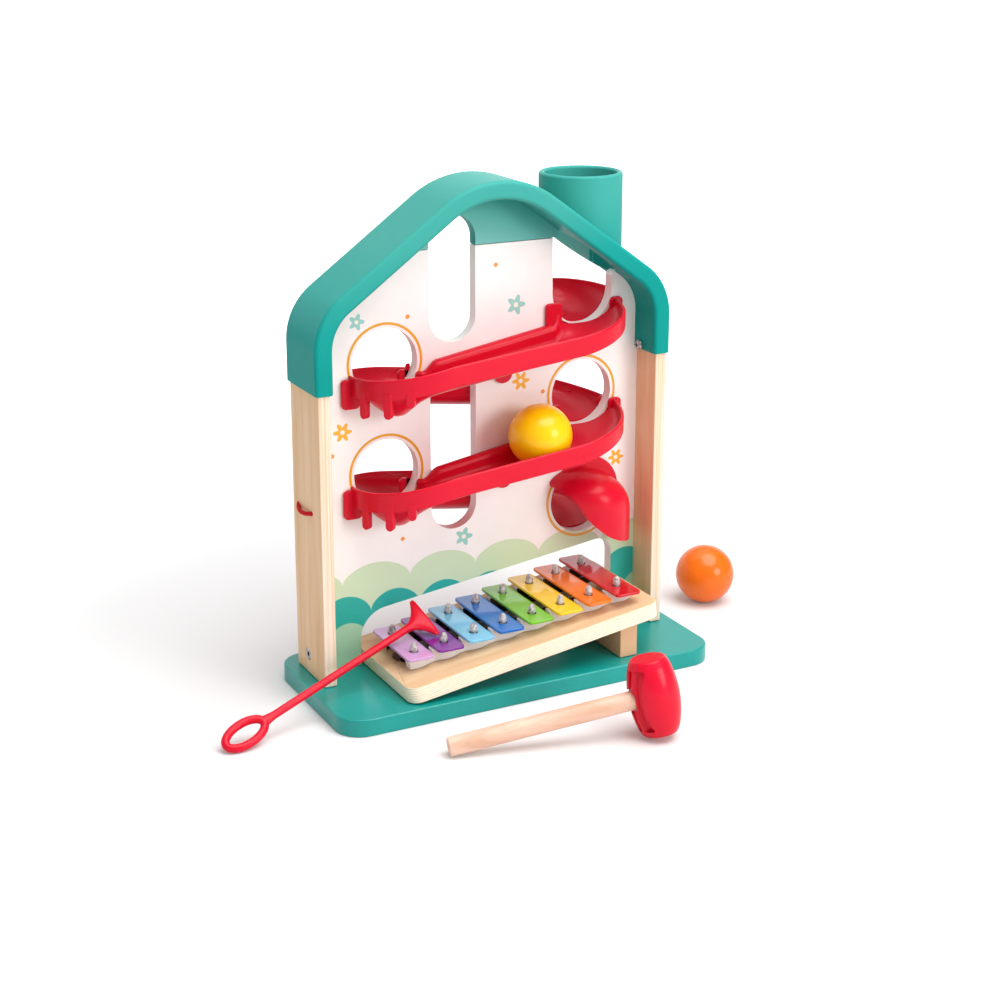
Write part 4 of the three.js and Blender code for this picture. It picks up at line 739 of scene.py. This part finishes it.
class Track:
    def __init__(self, face, entry, exit, drop, entry_rim, depth, exit_rim):
        self.face_y, self.out = (21.7, -1) if face == "front" else (31.3, 1)
        self.entry, self.exit = entry, exit
        self.way = 1 if exit[0] > entry[0] else -1
        self.entry_pivot = entry[0] + self.way * MIDDLE
        self.exit_pivot = exit[0] - self.way * MIDDLE
        self.entry_floor = entry[1] - HOLE_TO_FLOOR
        self.exit_floor = exit[1] - HOLE_TO_FLOOR
        self.run_start = self.entry_floor - drop
        self.run_end = self.run_start - FALL * abs(self.exit_pivot - self.entry_pivot)
        self.entry_rim, self.depth, self.exit_rim = entry_rim, depth, exit_rim

    def floor_at(self, x):
        return self.run_start - FALL * abs(x - self.entry_pivot)

    def stations(self, bend_steps, run_steps):
        rows = []
        skirt = 0.705 * self.depth
        run_belly, early, late = (0, 1.6, 1.2) if self.out < 0 else (3.5, 0, 0)
        for step in range(bend_steps + 1):
            part = step / bend_steps
            turn = part * pi / 2
            floor = between(self.entry_floor, self.run_start, part)
            rows.append({
                "pivot": self.entry_pivot, "across": (-self.way * cos(turn), sin(turn)), "floor": floor,
                "rim": floor + between(self.entry_rim, self.depth - early, part), "belly": run_belly * part,
                "skirt": skirt * between(0.4, 1, sqrt(part)),
                "near": self.run_start + 17 - early + (13.3 + early) * (1 - part) ** 2.2,
                "half": between(21, HALF, part),
                "roll": between(1.5, 4.6, part),
            })
        for step in range(1, run_steps):
            part = step / run_steps
            x = between(self.entry_pivot, self.exit_pivot, part)
            floor = self.floor_at(x)
            drop = max(0, (part - 0.9) / 0.1)
            near = between(17 - early, 10.8 + late, min(1, part / 0.9))
            near = between(near, 5.8, drop * drop * (3 - 2 * drop))
            rim = floor + self.depth + between(-early, late, part)
            rows.append({
                "pivot": x, "across": (0, 1), "floor": floor, "rim": rim, "belly": run_belly,
                "skirt": skirt, "near": floor + near, "half": HALF, "roll": min(4.6, 0.42 * near),
            })
        last_rim = self.exit_floor + self.exit_rim
        for step in range(bend_steps + 1):
            part = step / bend_steps
            turn = part * pi / 2
            rows.append({
                "pivot": self.exit_pivot, "across": (self.way * sin(turn), cos(turn)),
                "floor": between(self.run_end, self.exit_floor, part),
                "belly": 12 * sin(pi * part ** 1.4) ** 2 + run_belly * (1 - part) ** 2,
                "rim": between(self.run_end + self.depth + late, last_rim, sin(turn)),
                "skirt": skirt, "near": self.run_end + 5.8, "half": HALF, "roll": 2.4,
            })
        return rows

    def spot(self, row, w, z):
        reach = MIDDLE + w
        across_x, across_y = row["across"]
        return (row["pivot"] + across_x * reach, self.face_y + self.out * across_y * reach, z)

    def ring(self, row):
        floor, rim, near, half, roll = (row[key] for key in ("floor", "rim", "near", "half", "roll"))
        bottom = floor - WALL - row["belly"]
        hem = max(rim - row["skirt"], bottom + 0.5)
        far_turn = acos(1 - (hem - bottom) / (rim - bottom))
        shoulder = arc(-half, near - roll, roll, 90, 0, 8)[:-1]
        near_wall, far_wall, near_out, far_out = [], [], [], []
        for step in range(WALL_STEPS + 1):
            turn = pi / 2 * step / WALL_STEPS
            steep = 1 - sqrt(abs(cos(turn)))
            near_wall.append((-(half - roll) * sqrt(sin(turn)), between(floor, near - roll, steep)))
            far_wall.append((HALF * sin(turn), between(floor, rim, 1 - cos(turn))))
            near_out.append((-(half + WALL) * sin(turn), between(bottom, near - LIP, 1 - cos(turn))))
            turn = far_turn * step / WALL_STEPS
            far_out.append(((HALF + WALL) * sin(turn), between(bottom, rim, 1 - cos(turn))))
        inner = shoulder + near_wall[::-1] + far_wall[1:]
        far_lip = arc(HALF + LIP, rim, LIP, 180, 0, 6)[1:]
        hem_edge = arc(26.3, hem + 0.9, 0.9, 0, -90, 4)
        outer = far_out[::-1] + near_out[1:]
        near_lip = arc(-half - LIP, near - LIP, LIP, 180, 90, 4)[1:]
        return [self.spot(row, w, z) for w, z in inner + far_lip + hem_edge + outer + near_lip]


# %% [markdown]
# A trough is held by flat plates that lie on the panel: a tab and a stile beside the first hole, one
# plate past the last hole and a lug in the middle. Three fins stand under the exit bend. On the real toy
# all of it is one moulding, so each detail is joined to the trough by a boolean.

# %% Track details
def panel_plate(track, x0, x1, z0, z1, radius):
    y0, y1 = sorted((track.face_y, track.face_y + track.out * 3))
    made = plate("plate", rounded(min(x0, x1), max(x0, x1), z0, z1, radius), "Y", y0, y1)
    ease(made, 0.7, 2, 60)
    return made


def fin(track, turn, low):
    floor = between(track.run_end, track.exit_floor, turn / 90)
    top = floor + track.exit_rim / 2
    outline = arc(0, track.exit_floor - low + 3, 3, 180, 360, 12) + [(3, top), (-3, top)]
    made = plate("fin", outline, "Y", 50.5, 55.3)
    ease(made, 0.8, 3, 60)
    angle = radians(turn)
    out_x, out_y = track.way * sin(angle), track.out * cos(angle)
    turned = Matrix(((out_y, out_x, 0, 0), (-out_x, out_y, 0, 0), (0, 0, 1, 0), (0, 0, 0, 1)))
    return place(made, shift(track.exit_pivot, track.face_y, 0) @ turned)


def make_track(name, track):
    piece = skin(name + "_trough", [track.ring(row) for row in track.stations(18, 40)])
    way, lug_floor = track.way, track.floor_at(LUG_X)
    tab_top = track.entry[1] - 6.6
    stile, stile_top = (9.8, tab_top) if track.out < 0 else (13.4, tab_top - 2.6)
    pivot, left, exit_x = track.entry_pivot, track.entry[0] - way * 22.2, track.exit[0] + way * 20
    last = track.exit_floor
    details = [
        panel_plate(track, left, left - way * 10, track.entry_floor - 2.2, tab_top, 3.3),
        panel_plate(track, pivot - way * stile, pivot + way * 2.9, track.run_start + 2, stile_top, 3),
        panel_plate(track, exit_x, exit_x + way * 13.5, last - 6.1, last + 15.1, 3.5),
        panel_plate(track, LUG_X - 7.25, LUG_X + 7.25, lug_floor - 18.4, lug_floor + 9, 7.2),
    ]
    details += [fin(track, turn, low) for turn, low in ((33, -2), (50, 6.8), (72, 9.5))]
    for detail in details:
        carve(piece, detail, "UNION")
    finish_piece(piece, "house", red_plastic, "red_plastic", name, angle=50)


# %% Tracks
INLET = (RIGHT_HOLE_X, 267)
UPPER_LEFT, MIDDLE_RIGHT, LOWER_LEFT, OUTLET = HOLES
make_track("front_track_upper", Track("front", INLET, UPPER_LEFT, 13.8, 15, 18.6, 16.2))
make_track("back_track_upper", Track("back", UPPER_LEFT, MIDDLE_RIGHT, 12, 12, 14, 14))
make_track("front_track_lower", Track("front", MIDDLE_RIGHT, LOWER_LEFT, 16.2, 15, 18.6, 16.2))
make_track("back_track_lower", Track("back", LOWER_LEFT, OUTLET, 12, 12, 14, 14))

# %% [markdown]
# ## Entry bowl
# A shell of the same red plastic behind the panel catches the ball under the chimney. It could be laid
# ring by ring like the troughs. A sphere that is cut by two planes and given a wall has the same form in
# fewer steps. Two flat ears hold it to the panel.

# %% Entry bowl
sphere = bpy.ops.mesh.primitive_uv_sphere_add
PANEL_REAR = 31.3
BOWL_RADII, BOWL_WALL = (26.6, 44.2, 25.4), 2.2
bowl = new_piece("bowl", sphere, segments=72, ring_count=48, radius=1)
place(bowl, Matrix.Diagonal((*(Vector(BOWL_RADII) * MM), 1)))
place(bowl, shift(RIGHT_HOLE_X, PANEL_REAR, 267))
for spot, normal in (((0, 31.4, 0), (0, -1, 0)), ((0, 0, 266.4), (0, 0, 1))):
    edit_all(bowl)
    bpy.ops.mesh.bisect(plane_co=Vector(spot) * MM, plane_no=normal, clear_outer=True)
    bpy.ops.object.mode_set(mode="OBJECT")
thicken = bowl.modifiers.new("wall", "SOLIDIFY")
thicken.thickness = BOWL_WALL * MM
thicken.offset = -1
thicken.use_even_offset = True
apply_modifier(bowl, thicken)
ease(bowl, BOWL_WALL * 0.36, 3, 60)
for side in (-1, 1):
    x = RIGHT_HOLE_X + side * 30.4
    ear = plate("ear", rounded(x - 6, x + 6, 248.6, 266.5, 3), "Y", PANEL_REAR, PANEL_REAR + 3)
    ease(ear, 0.6, 2)
    carve(bowl, ear, "UNION")
finish_piece(bowl, "house", red_plastic, "red_plastic", "entry_bowl", angle=50)

# %% [markdown]
# ## Exit spout
# The spout is a hood over the last hole, open downwards to the left, so the ball drops on the bars. A
# sphere is too round for its squarish right side, so it is a skin of outer and inner arcs. Its slanted
# mouth is cut along a smooth line, and a flat collar closes it to the panel.

# %% Exit spout
HOOD_X, HOOD_Y, HOOD_Z = 84, 21.7, 102
HOOD_TURNS = [pi * step / 48 for step in range(49)]


def hood_point(turn, part):
    squareness = 4 - 2 * cos(turn)
    share = sqrt(1 - max(0, part) ** squareness)
    z = HOOD_Z + part * (32 - 2 * cos(turn) if part > 0 else 28)
    return (HOOD_X + 32.2 * share * cos(turn), HOOD_Y - 36 * share * sin(turn), z)


def lining(x, y, z):
    lower = min(z, HOOD_Z + (z - HOOD_Z) * 0.93)
    return (HOOD_X + (x - HOOD_X) * 0.925, HOOD_Y + (y - HOOD_Y) * 0.933, lower)


parts = [-1 + step / 14 for step in range(15)] + [sin(pi / 2 * step / 18) for step in range(1, 18)]
hood_rows = []
for part in parts:
    outside = [hood_point(turn, part) for turn in HOOD_TURNS]
    hood_rows.append(outside + [lining(*point) for point in reversed(outside)])
cap = [hood_point(turn, 0.999) for turn in HOOD_TURNS]
hood_rows.append(cap + [(x, y, z - 2.2) for x, y, z in reversed(cap)])
spout = skin("spout", hood_rows)
lip = [
    (40, 131), (53.3, 126.5), (54.4, 123.6), (58.2, 121.2), (61.3, 117.7), (64.2, 113.4), (67.4, 107),
    (71.4, 101.8), (77.3, 96), (84, 90.6), (91.8, 86.6), (98.1, 84.2), (104, 82.4), (110, 81.6),
    (116, 82.6), (125, 84),
]
lip_route = smooth_route([Vector((x, 0, z)) for x, z in lip], 5)
lip_curve = [(spot.x, spot.z) for spot in lip_route]
carve(spout, plate("cutter", lip_curve + [(125, 60), (40, 60)], "Y", -40, 40))
ease(spout, 0.7, 3, 60)
collar = plate("collar", arc(HOOD_X, 117, 26, -40, 220, 72), "Y", 19.1, HOOD_Y)
carve(collar, bore(RIGHT_HOLE_X, 60, 107.6, 24, (0, -1, 0), 60, 72))
ease(collar, 0.6, 2, 60)
finish_piece(collar, "house", red_plastic, "red_plastic", "exit_spout", angle=50)
finish_piece(spout, "house", red_plastic, "red_plastic", "exit_spout", angle=50)

# %% [markdown]
# ## Xylophone
# A plywood board with a sound slot leans on a wooden foot and slides in through the window. Eight metal
# bars lie on two clear soft strips, held by pins at their still points. The plies could be modelled as
# layers, but they only show at the edge, where stripes in the finish are enough. Under the bars the
# finish is dark with fine lines, because hardly any light gets there.

# %% Xylophone woods
BOARD_TILT = radians(8.4)
BOARD_SPOT = (-95, -8.3, 12.8)


# Painted shade: where the bars keep the light off, the board and the strips are painted dark with fine
# lines.
def under_bars(made, start, end):
    x, y = made.axes(made.coords)[:2]
    along = made.math("MULTIPLY", made.math("ADD", x, -BOARD_SPOT[0] * MM), 1 / cos(BOARD_TILT))
    across = made.math("ADD", y, -BOARD_SPOT[1] * MM)
    line = made.math("MULTIPLY_ADD", along, 0.0456, 0.0164)
    inside = made.math("LESS_THAN", made.math("ABSOLUTE", across), line)
    inside = made.math("MULTIPLY", inside, made.math("GREATER_THAN", along, start * MM))
    inside = made.math("MULTIPLY", inside, made.math("LESS_THAN", along, end * MM))
    return inside, made.ramp(made.stripes(across, 0.0018), (0.55, (34, 28, 24)), (0.9, (104, 88, 58)))


def plywood_finish():
    made = Finish("plywood", 0.5, gloss=0.2)
    turn = (0, BOARD_TILT, 0)
    grain = made.noise(1, 6, made.stretched((5, 120, 120), turn), 0.6, 0.4)
    face = made.ramp(grain, (0.3, (212, 176, 132)), (0.5, (220, 187, 146)), (0.72, (227, 198, 160)))
    waves = made.noise(1, 3, made.stretched((14, 14, 500)))
    level = made.axes(made.stretched((1, 1, 1), turn))[2]
    plies = made.stripes(made.math("MULTIPLY_ADD", waves, 0.0012, level), 0.012 / 9)
    edge = made.ramp(plies, (0.0, (220, 192, 154)), (0.22, (243, 228, 202)), (0.6, (250, 239, 219)))
    flat = made.math("GREATER_THAN", made.math("ABSOLUTE", made.axes(made.normal)[2]), 0.6)
    shaded, hatched = under_bars(made, 19, 181)
    made.base(made.mix(flat, edge, made.mix(shaded, face, hatched)))
    made.bump(grain, 0.08, 0.0001)
    return made.material


def end_grain_finish():
    made = Finish("foot_wood", 0.55)
    x, y, z = made.axes(made.coords)
    slant = made.math("MULTIPLY_ADD", z, -0.8, x)
    slant = made.math("MULTIPLY_ADD", made.noise(60, 4), 0.004, slant)
    rings = made.stripes(slant, 0.0018)
    made.base(made.ramp(rings, (0.0, (204, 150, 106)), (0.35, (218, 170, 128)), (0.8, (226, 184, 146))))
    made.bump(made.noise(500, 3), 0.15, 0.0002)
    return made.material


plywood = plywood_finish()
foot_wood = end_grain_finish()
print(plywood.name, "and", foot_wood.name, "are ready")

# %% Board and foot
TILT = shift(*BOARD_SPOT) @ Matrix.Rotation(-BOARD_TILT, 4, "Y")
board = plate("xylophone_plank", rounded(0, 199, -50.75, 50.75, 9, 10), "Z", 0, 12)
sound_slot = plate("cutter", rounded(11.6, 187.4, -13, 13, 12.9, 10), "Z", 4, 20)
carve(board, sound_slot)
ease(board, 0.9, 3)
place(board, TILT)
finish_piece(board, "xylophone", plywood, "plywood", "xylophone_board")
low, high = (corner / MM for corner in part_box("xylophone_foot"))
foot_side = [(low.x, low.z), (high.x, low.z), (high.x, high.z), (low.x, high.z - 14 * tan(BOARD_TILT))]
foot = plate("foot_block", foot_side, "Y", low.y, high.y)
ease(foot, 0.7, 3)
finish_piece(foot, "xylophone", foot_wood, "pale_wood", "xylophone_foot")

# %% [markdown]
# The bars lie level on the tilted board, like the treads of a stair: the soft strips under them have a
# sloping seat for each bar. They could be modelled in place, one by one. Built upright and then turned
# back by the board's tilt, each bar with its pins needs only a length and a spot.

# %% Bar law
BAR_BOTTOM, BAR_TOP, PITCH = 20.3, 22.3, 22.75
FIRST_BAR, STILL_SHARE = 19.6, 0.292
BAR_COLOURS = [
    (206, 160, 214), (126, 34, 150), (120, 198, 236), (0, 108, 200),
    (112, 190, 22), (255, 210, 0), (248, 118, 0), (208, 10, 30),
]
PIN_PROFILE = [
    (0, 8.6), (1.8, 8.6), (1.8, 22.3), (2.3, 22.5), (2.55, 23.1), (2.68, 24), (2.7, 24.8), (2.6, 25.7),
    (2.35, 26.7), (2.0, 27.6), (1.5, 28.4), (0.9, 28.95), (0.4, 29.15), (0, 29.2),
]


def bar_middle(number):
    return FIRST_BAR + PITCH * number


def bar_length(x):
    return 62.7 + 3.55 * (x - FIRST_BAR) / PITCH


def levelled(piece, x, y):
    middle = (BAR_BOTTOM + BAR_TOP) / 2
    turn = shift(x, y, middle) @ Matrix.Rotation(BOARD_TILT, 4, "Y")
    return place(piece, TILT @ turn @ shift(0, 0, -middle))


print("bars are", [round(bar_length(bar_middle(number)), 1) for number in range(8)], "mm long")

# %% Bars and pins
def lacquer(number, shade):
    made = Finish(f"bar_lacquer_{number + 1}", 0.3, 0.8, 0.15)
    made.shader.inputs["Coat Roughness"].default_value = 0.04
    deep = [value * 0.93 for value in shade]
    made.base(made.ramp(made.noise(30, 3), (0.3, deep), (0.7, shade)))
    brushed = made.noise(1, 3, made.stretched((900, 60, 60)))
    made.rough(made.spread(brushed, 0.16, 0.26))
    made.bump(brushed, 0.02, 0.0001)
    return made.material


pin_look = Finish("pin_plastic", 0.3)
speckle = pin_look.noise(420, 4, rough=0.7)
pin_stops = [(0.36, (120, 112, 110)), (0.5, (186, 180, 178)), (0.64, (216, 210, 208))]
pin_look.base(pin_look.ramp(speckle, *pin_stops))
pin_look.bump(speckle, 0.2, 0.0003)
for number, shade in enumerate(BAR_COLOURS):
    x, half = bar_middle(number), bar_length(bar_middle(number)) / 2
    bar = plate(f"tone_bar_{number + 1}", rounded(-10.1, 10.1, -half, half, 3, 6), "Z", BAR_BOTTOM, BAR_TOP)
    still = STILL_SHARE * 2 * half
    for side in (-1, 1):
        carve(bar, bore(0, side * still, 10, 3.1, (0, 0, 1), 20, 28))
    ease(bar, 0.4, 3)
    levelled(bar, x, 0)
    finish = lacquer(number, shade)
    finish_piece(bar, "xylophone", finish, f"bar_colour_{number + 1}", f"bar_{number + 1}")
    for row, side in (("front", -1), ("back", 1)):
        pin = lathe(f"pin_{row}_{number + 1}", PIN_PROFILE, 24)
        levelled(pin, x, side * still)
        finish_piece(pin, "xylophone", pin_look.material, "pin_plastic", f"bar_pin_{row}_{number + 1}")

# %% [markdown]
# The strips are soft and clear. Each is one skin: a small rounded section that follows the still points,
# waves a little outwards at every bar, and slopes so that the bar above it lies level.

# %% Soft strips
strip_look = Finish("soft_clear", 0.28)
milky = strip_look.ramp(strip_look.noise(60, 3), (0.3, (236, 231, 230)), (0.7, (250, 247, 246)))
# The strips get the same painted shade under the bars as the board.
shaded, hatched = under_bars(strip_look, 0, 200)
strip_look.base(strip_look.mix(shaded, milky, hatched))
strip_look.shader.inputs["Transmission Weight"].default_value = 0.15
strip_look.shader.inputs["IOR"].default_value = 1.4
strip_look.bump(strip_look.noise(140, 2), 0.25, 0.0004)
for row, side in (("front", -1), ("back", 1)):
    rings = []
    for number in range(8):
        start = max(bar_middle(number) - PITCH / 2 + 0.06, 13)
        end = min(bar_middle(number) + PITCH / 2 - 0.06, bar_middle(7) + 6.6)
        for step in range(13):
            x = between(start, end, step / 12)
            line = side * STILL_SHARE * bar_length(x)
            wave = 1.2 * cos((x - bar_middle(number)) / PITCH * 2 * pi)
            y0, y1 = sorted((line + side * (6.5 + wave), line - side * 2))
            seat = 20.0 - (x - bar_middle(number)) * tan(BOARD_TILT)
            rings.append([(x, y, z) for y, z in rounded(y0, y1, 12.3, seat, 0.9, 3)])
    strip = skin(f"{row}_strip", rings)
    place(strip, TILT)
    finish_piece(strip, "xylophone", strip_look.material, "soft_clear", f"{row}_cushion")

# %% [markdown]
# ## Hammer
# A turned wooden handle goes into a red moulded head, which is barrel-shaped with flat ends. Pockets on
# the handle's side keep the moulding's walls thin, and a counterbore widens the socket's mouth. The
# pockets could be pushed in by hand. A cutter that is itself hollowed by a smaller barrel leaves floors
# of even depth.

# %% Hammer
HAMMER_TILT = 9.2
STICK_RADIUS = 6.5
HEAD_X, HEAD_HALF = 141, 26
hammer_turn = Matrix.Rotation(radians(-14.3), 4, "Z") @ Matrix.Rotation(radians(-HAMMER_TILT), 4, "Y")
hammer_turn = hammer_turn @ Matrix.Rotation(radians(-8), 4, "X")
HAMMER = shift(-95, -114, STICK_RADIUS * cos(radians(HAMMER_TILT)) + 0.3) @ hammer_turn
barrel = [(0, -HEAD_HALF), (8.4, -HEAD_HALF)] + arc(10.6, -24, 2, -90, -15, 6)
for step in range(1, 24):
    part = step / 24 * 2 - 1
    if abs(part) < 0.86:
        barrel.append((between(17.4, 12.6, part * part), part * HEAD_HALF))
barrel += arc(10.6, 24, 2, 15, 90, 6) + [(8.4, HEAD_HALF), (0, HEAD_HALF)]
head = lathe("hammer_barrel", barrel, 120)
for near_edge, far_edge, depth in ((2.4, 5.6, 2.6), (7.2, 13, 3.2)):
    for side in (-1, 1):
        y0, y1 = sorted((side * near_edge, side * far_edge))
        pocket = plate("cutter", rounded(y0, y1, -21, 21, 1.5, 5), "Y", -30, -1)
        place(pocket, Matrix.Rotation(-pi / 2, 4, "Z"))
        carve(pocket, lathe("core", [(max(0, radius - depth), z) for radius, z in barrel], 120))
        carve(head, pocket)
ease(head, 0.55, 3, 45)
place(head, shift(HEAD_X, 0, 0))
carve(head, bore(100, 0, 0, 9.2, (1, 0, 0), 26.4, 48))
carve(head, bore(100, 0, 0, 6.9, (1, 0, 0), 34.8, 48))
place(head, HAMMER)
finish_piece(head, "hammer", red_plastic, "red_plastic", "hammer_head", angle=45)
stick = [(0, 0), (5.2, 0), (6.1, 0.4), (STICK_RADIUS, 1.3), (STICK_RADIUS, 60)]
stick += [(STICK_RADIUS, 134.2), (6.2, 134.5), (0, 134.5)]
handle = lathe("hammer_stick", stick, 48)
place(handle, HAMMER @ Matrix.Rotation(pi / 2, 4, "Y"))
finish_piece(handle, "hammer", handle_wood, "pale_wood", "hammer_handle")

# %% [markdown]
# ## Mallet
# One red moulding: an oval finger ring, a thin rod and a flat cross head that strikes the bars. A curve
# with a changing radius would give the rod, but not the flat head. So the ring and the rod with its head
# are two skins, joined into one.

# %% Mallet
LOOP_LONG, LOOP_WIDE, LOOP_TUBE = 15.1, 7.35, 2.9
ring_rows = []
for step in range(64):
    turn = 2 * pi * step / 64
    middle = Vector((LOOP_LONG * cos(turn), LOOP_WIDE * sin(turn), 0))
    outward = Vector((LOOP_WIDE * cos(turn), LOOP_LONG * sin(turn), 0)).normalized()
    row = []
    for side in range(16):
        tube = 2 * pi * side / 16
        row.append(middle + outward * (LOOP_TUBE * cos(tube)) + Vector((0, 0, LOOP_TUBE * sin(tube))))
    ring_rows.append(row)
mallet = skin("mallet_body", ring_rows, joined=True)
widths = [(LOOP_LONG, 4.2, 2.8), (19, 3.4, 2.8), (23.6, 2.8, 2.8), (80, 2.7, 2.7)]
for step in range(17):
    part = step / 16
    widths.append((137 + 16.6 * part, between(2.7, 14.6, part ** 2.6), between(2.7, 2.4, part)))
widths += [(154, 15.2, 2.4), (155.4, 15.5, 2.4), (156.6, 15.3, 2), (157.1, 14.8, 1.3)]
rod_rows = []
for x, wide, thick in widths:
    twist = radians(3) * min(1, max(0, (x - 100) / 40))
    row = []
    for side in range(32):
        across_head, through = wide * cos(pi * side / 16), thick * sin(pi * side / 16)
        y = across_head * cos(twist) - through * sin(twist)
        row.append((x, y, across_head * sin(twist) + through * cos(twist)))
    rod_rows.append(row)
carve(mallet, skin("rod", rod_rows), "UNION")
mallet_turn = Matrix.Rotation(radians(12.6), 4, "Z") @ Matrix.Rotation(radians(-16.1), 4, "Y")
mallet_turn = mallet_turn @ Matrix.Rotation(radians(38), 4, "X")
place(mallet, mallet_turn)
lowest = min(vertex.co.z for vertex in mallet.data.vertices)
place(mallet, shift(-207, -39.5, 0.3 - lowest / MM))
finish_piece(mallet, "mallet", red_plastic, "red_plastic", "mallet", angle=50)

# %% [markdown]
# ## Balls
# Two lacquered wooden balls, one waiting on the lower track and one on the floor. A rounded cube would
# have more even faces, but the poles of a sphere made of rings don't show under plain paint. So a finely
# divided one is moved to the middle of the CAD ball's box and shaded smooth.

# %% Balls
BALL_RADIUS = 22.75
BALLS = [("yellow_ball", yellow_paint, "yellow_paint"), ("orange_ball", orange_paint, "orange_paint")]
for name, finish, slot in BALLS:
    low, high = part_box(name)
    ball = new_piece(name + "_turned", sphere, segments=72, ring_count=48, radius=BALL_RADIUS * MM)
    place(ball, Matrix.Translation((low + high) / 2))
    finish_piece(ball, name, finish, slot, name)

# %% [markdown]
# ## Fasteners
# Barrel nuts show as round steel faces low on the posts, and small screws hold the roof's legs. Both are
# turned from a profile, as steel parts are, and their recesses are cut. The bolts show only from below
# the base, so the CAD solids are kept and given the steel finish.

# %% Fasteners
def steel_finish():
    made = Finish("steel", 0.3)
    made.shader.inputs["Metallic"].default_value = 1
    made.base(made.ramp(made.noise(60, 3), (0.3, (170, 170, 172)), (0.7, (200, 200, 202))))
    scratches = made.noise(1, 3, made.stretched((400, 2000, 2000)))
    made.rough(made.spread(scratches, 0.22, 0.42))
    return made.material


steel = steel_finish()
for side, label in ((-1, "left"), (1, "right")):
    face = [(0, 0), (3.6, 0), (4.2, 0.5), (4.2, 5), (0, 5)]
    nut = lathe(label + "_nut", face, 40)
    hexagon = [(2 * cos(radians(60 * i)), 2 * sin(radians(60 * i))) for i in range(6)]
    carve(nut, plate("cutter", hexagon, "Z", -1, 3))
    turn = Matrix.Rotation(-side * pi / 2, 4, "Y")
    place(nut, shift(side * POST_OUTER, 26.5, 27) @ turn)
    finish_piece(nut, "house", steel, "steel", label + "_barrel_nut")
    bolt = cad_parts[label + "_base_bolt"]
    bolt.data.materials.clear()
    bolt.data.materials.append(steel)
    pan = [(0, -7), (1.5, -7), (1.5, 0), (3.7, 0), (3.7, 1.2), (3.4, 2), (2.5, 2.7), (1.2, 3), (0, 3)]
    screw = lathe(label + "_pan_head", pan, 40)
    for half_x, half_y in ((2.2, 0.6), (0.6, 2.2)):
        carve(screw, box("cutter", -half_x, half_x, -half_y, half_y, 1.5, 4))
    place(screw, shift(side * 124.3, 14, 224) @ turn)
    finish_piece(screw, "house", steel, "steel", label + "_roof_screw")

# %% [markdown]
# ## Floor and light
# A plain pale floor under soft studio light. Near the toy the floor keeps its shadow. Further out it adds
# light of its own to the camera, so that it reads as white. A picture of a studio could light the scene.
# Here a few ranges of direction are enough: glossy parts see a bright wall behind the toy and a bright
# ceiling, and all else sees even light.

# %% Floor
floor = new_piece("floor", bpy.ops.mesh.primitive_plane_add, size=30)
floor_finish = Finish("floor", 0.9, gloss=0.0)
floor_finish.shader.inputs["Base Color"].default_value = (0.77, 0.77, 0.77, 1)
reach = floor_finish.node("ShaderNodeVectorMath", operation="LENGTH")
floor_finish.link(floor_finish.coords, reach.inputs[0])
far = floor_finish.span(reach.outputs["Value"], 0.3, 0.8, 0.05, 1.0, soft=True)
seen = floor_finish.node("ShaderNodeLightPath").outputs["Is Camera Ray"]
glow = floor_finish.math("MULTIPLY", seen, far)
floor_finish.shader.inputs["Emission Color"].default_value = (1, 1, 1, 1)
floor_finish.link(glow, floor_finish.shader.inputs["Emission Strength"])
floor.data.materials.append(floor_finish.material)
print("the floor is", round(floor.dimensions.x), "m wide")

# %% World light
world = bpy.data.worlds.new("studio")
bpy.context.scene.world = world
world.use_nodes = True
sky = Nodes(world.node_tree)
backdrop = sky.tree.nodes["Background"]
backdrop.inputs["Color"].default_value = (1, 1, 1, 1)
heading = sky.axes(sky.node("ShaderNodeTexCoord").outputs["Generated"])
behind = sky.span(heading[1], 0.1, 0.7, 0.14, 1.3, soft=True)
behind = sky.math("MULTIPLY", behind, sky.span(heading[2], 0.3, 0.55, 1.0, 0.35, soft=True))
ceiling = sky.span(heading[2], 0.72, 0.86, 0.0, 1.4, soft=True)
light_path = sky.node("ShaderNodeLightPath")
glossy = light_path.outputs["Is Glossy Ray"]
even = sky.math("MULTIPLY_ADD", light_path.outputs["Is Camera Ray"], 0.36, 0.64)
even = sky.math("MULTIPLY", even, sky.math("SUBTRACT", 1.0, glossy))
mirrored = sky.math("MULTIPLY", sky.math("ADD", behind, ceiling), glossy)
sky.link(sky.math("ADD", even, mirrored), backdrop.inputs["Strength"])
print("the world has", len(sky.tree.nodes), "nodes")

# %% Lamps
LAMP_AIM = Vector((0, 0, 0.15))


def lamp(name, spot, size, power):
    data = bpy.data.lights.new(name, "AREA")
    data.shape = "DISK"
    data.size = size
    data.energy = power
    made = bpy.data.objects.new(name, data)
    made.location = spot
    made.rotation_euler = (LAMP_AIM - Vector(spot)).to_track_quat("-Z", "Y").to_euler()
    bpy.context.scene.collection.objects.link(made)
    print(name, "lamp gives", power, "watts")


lamp("overhead", (0.3, -0.5, 1.8), 1.8, 34)
lamp("front", (0.9, -1.75, 0.75), 0.9, 15)
bpy.context.scene.view_settings.view_transform = "Standard"
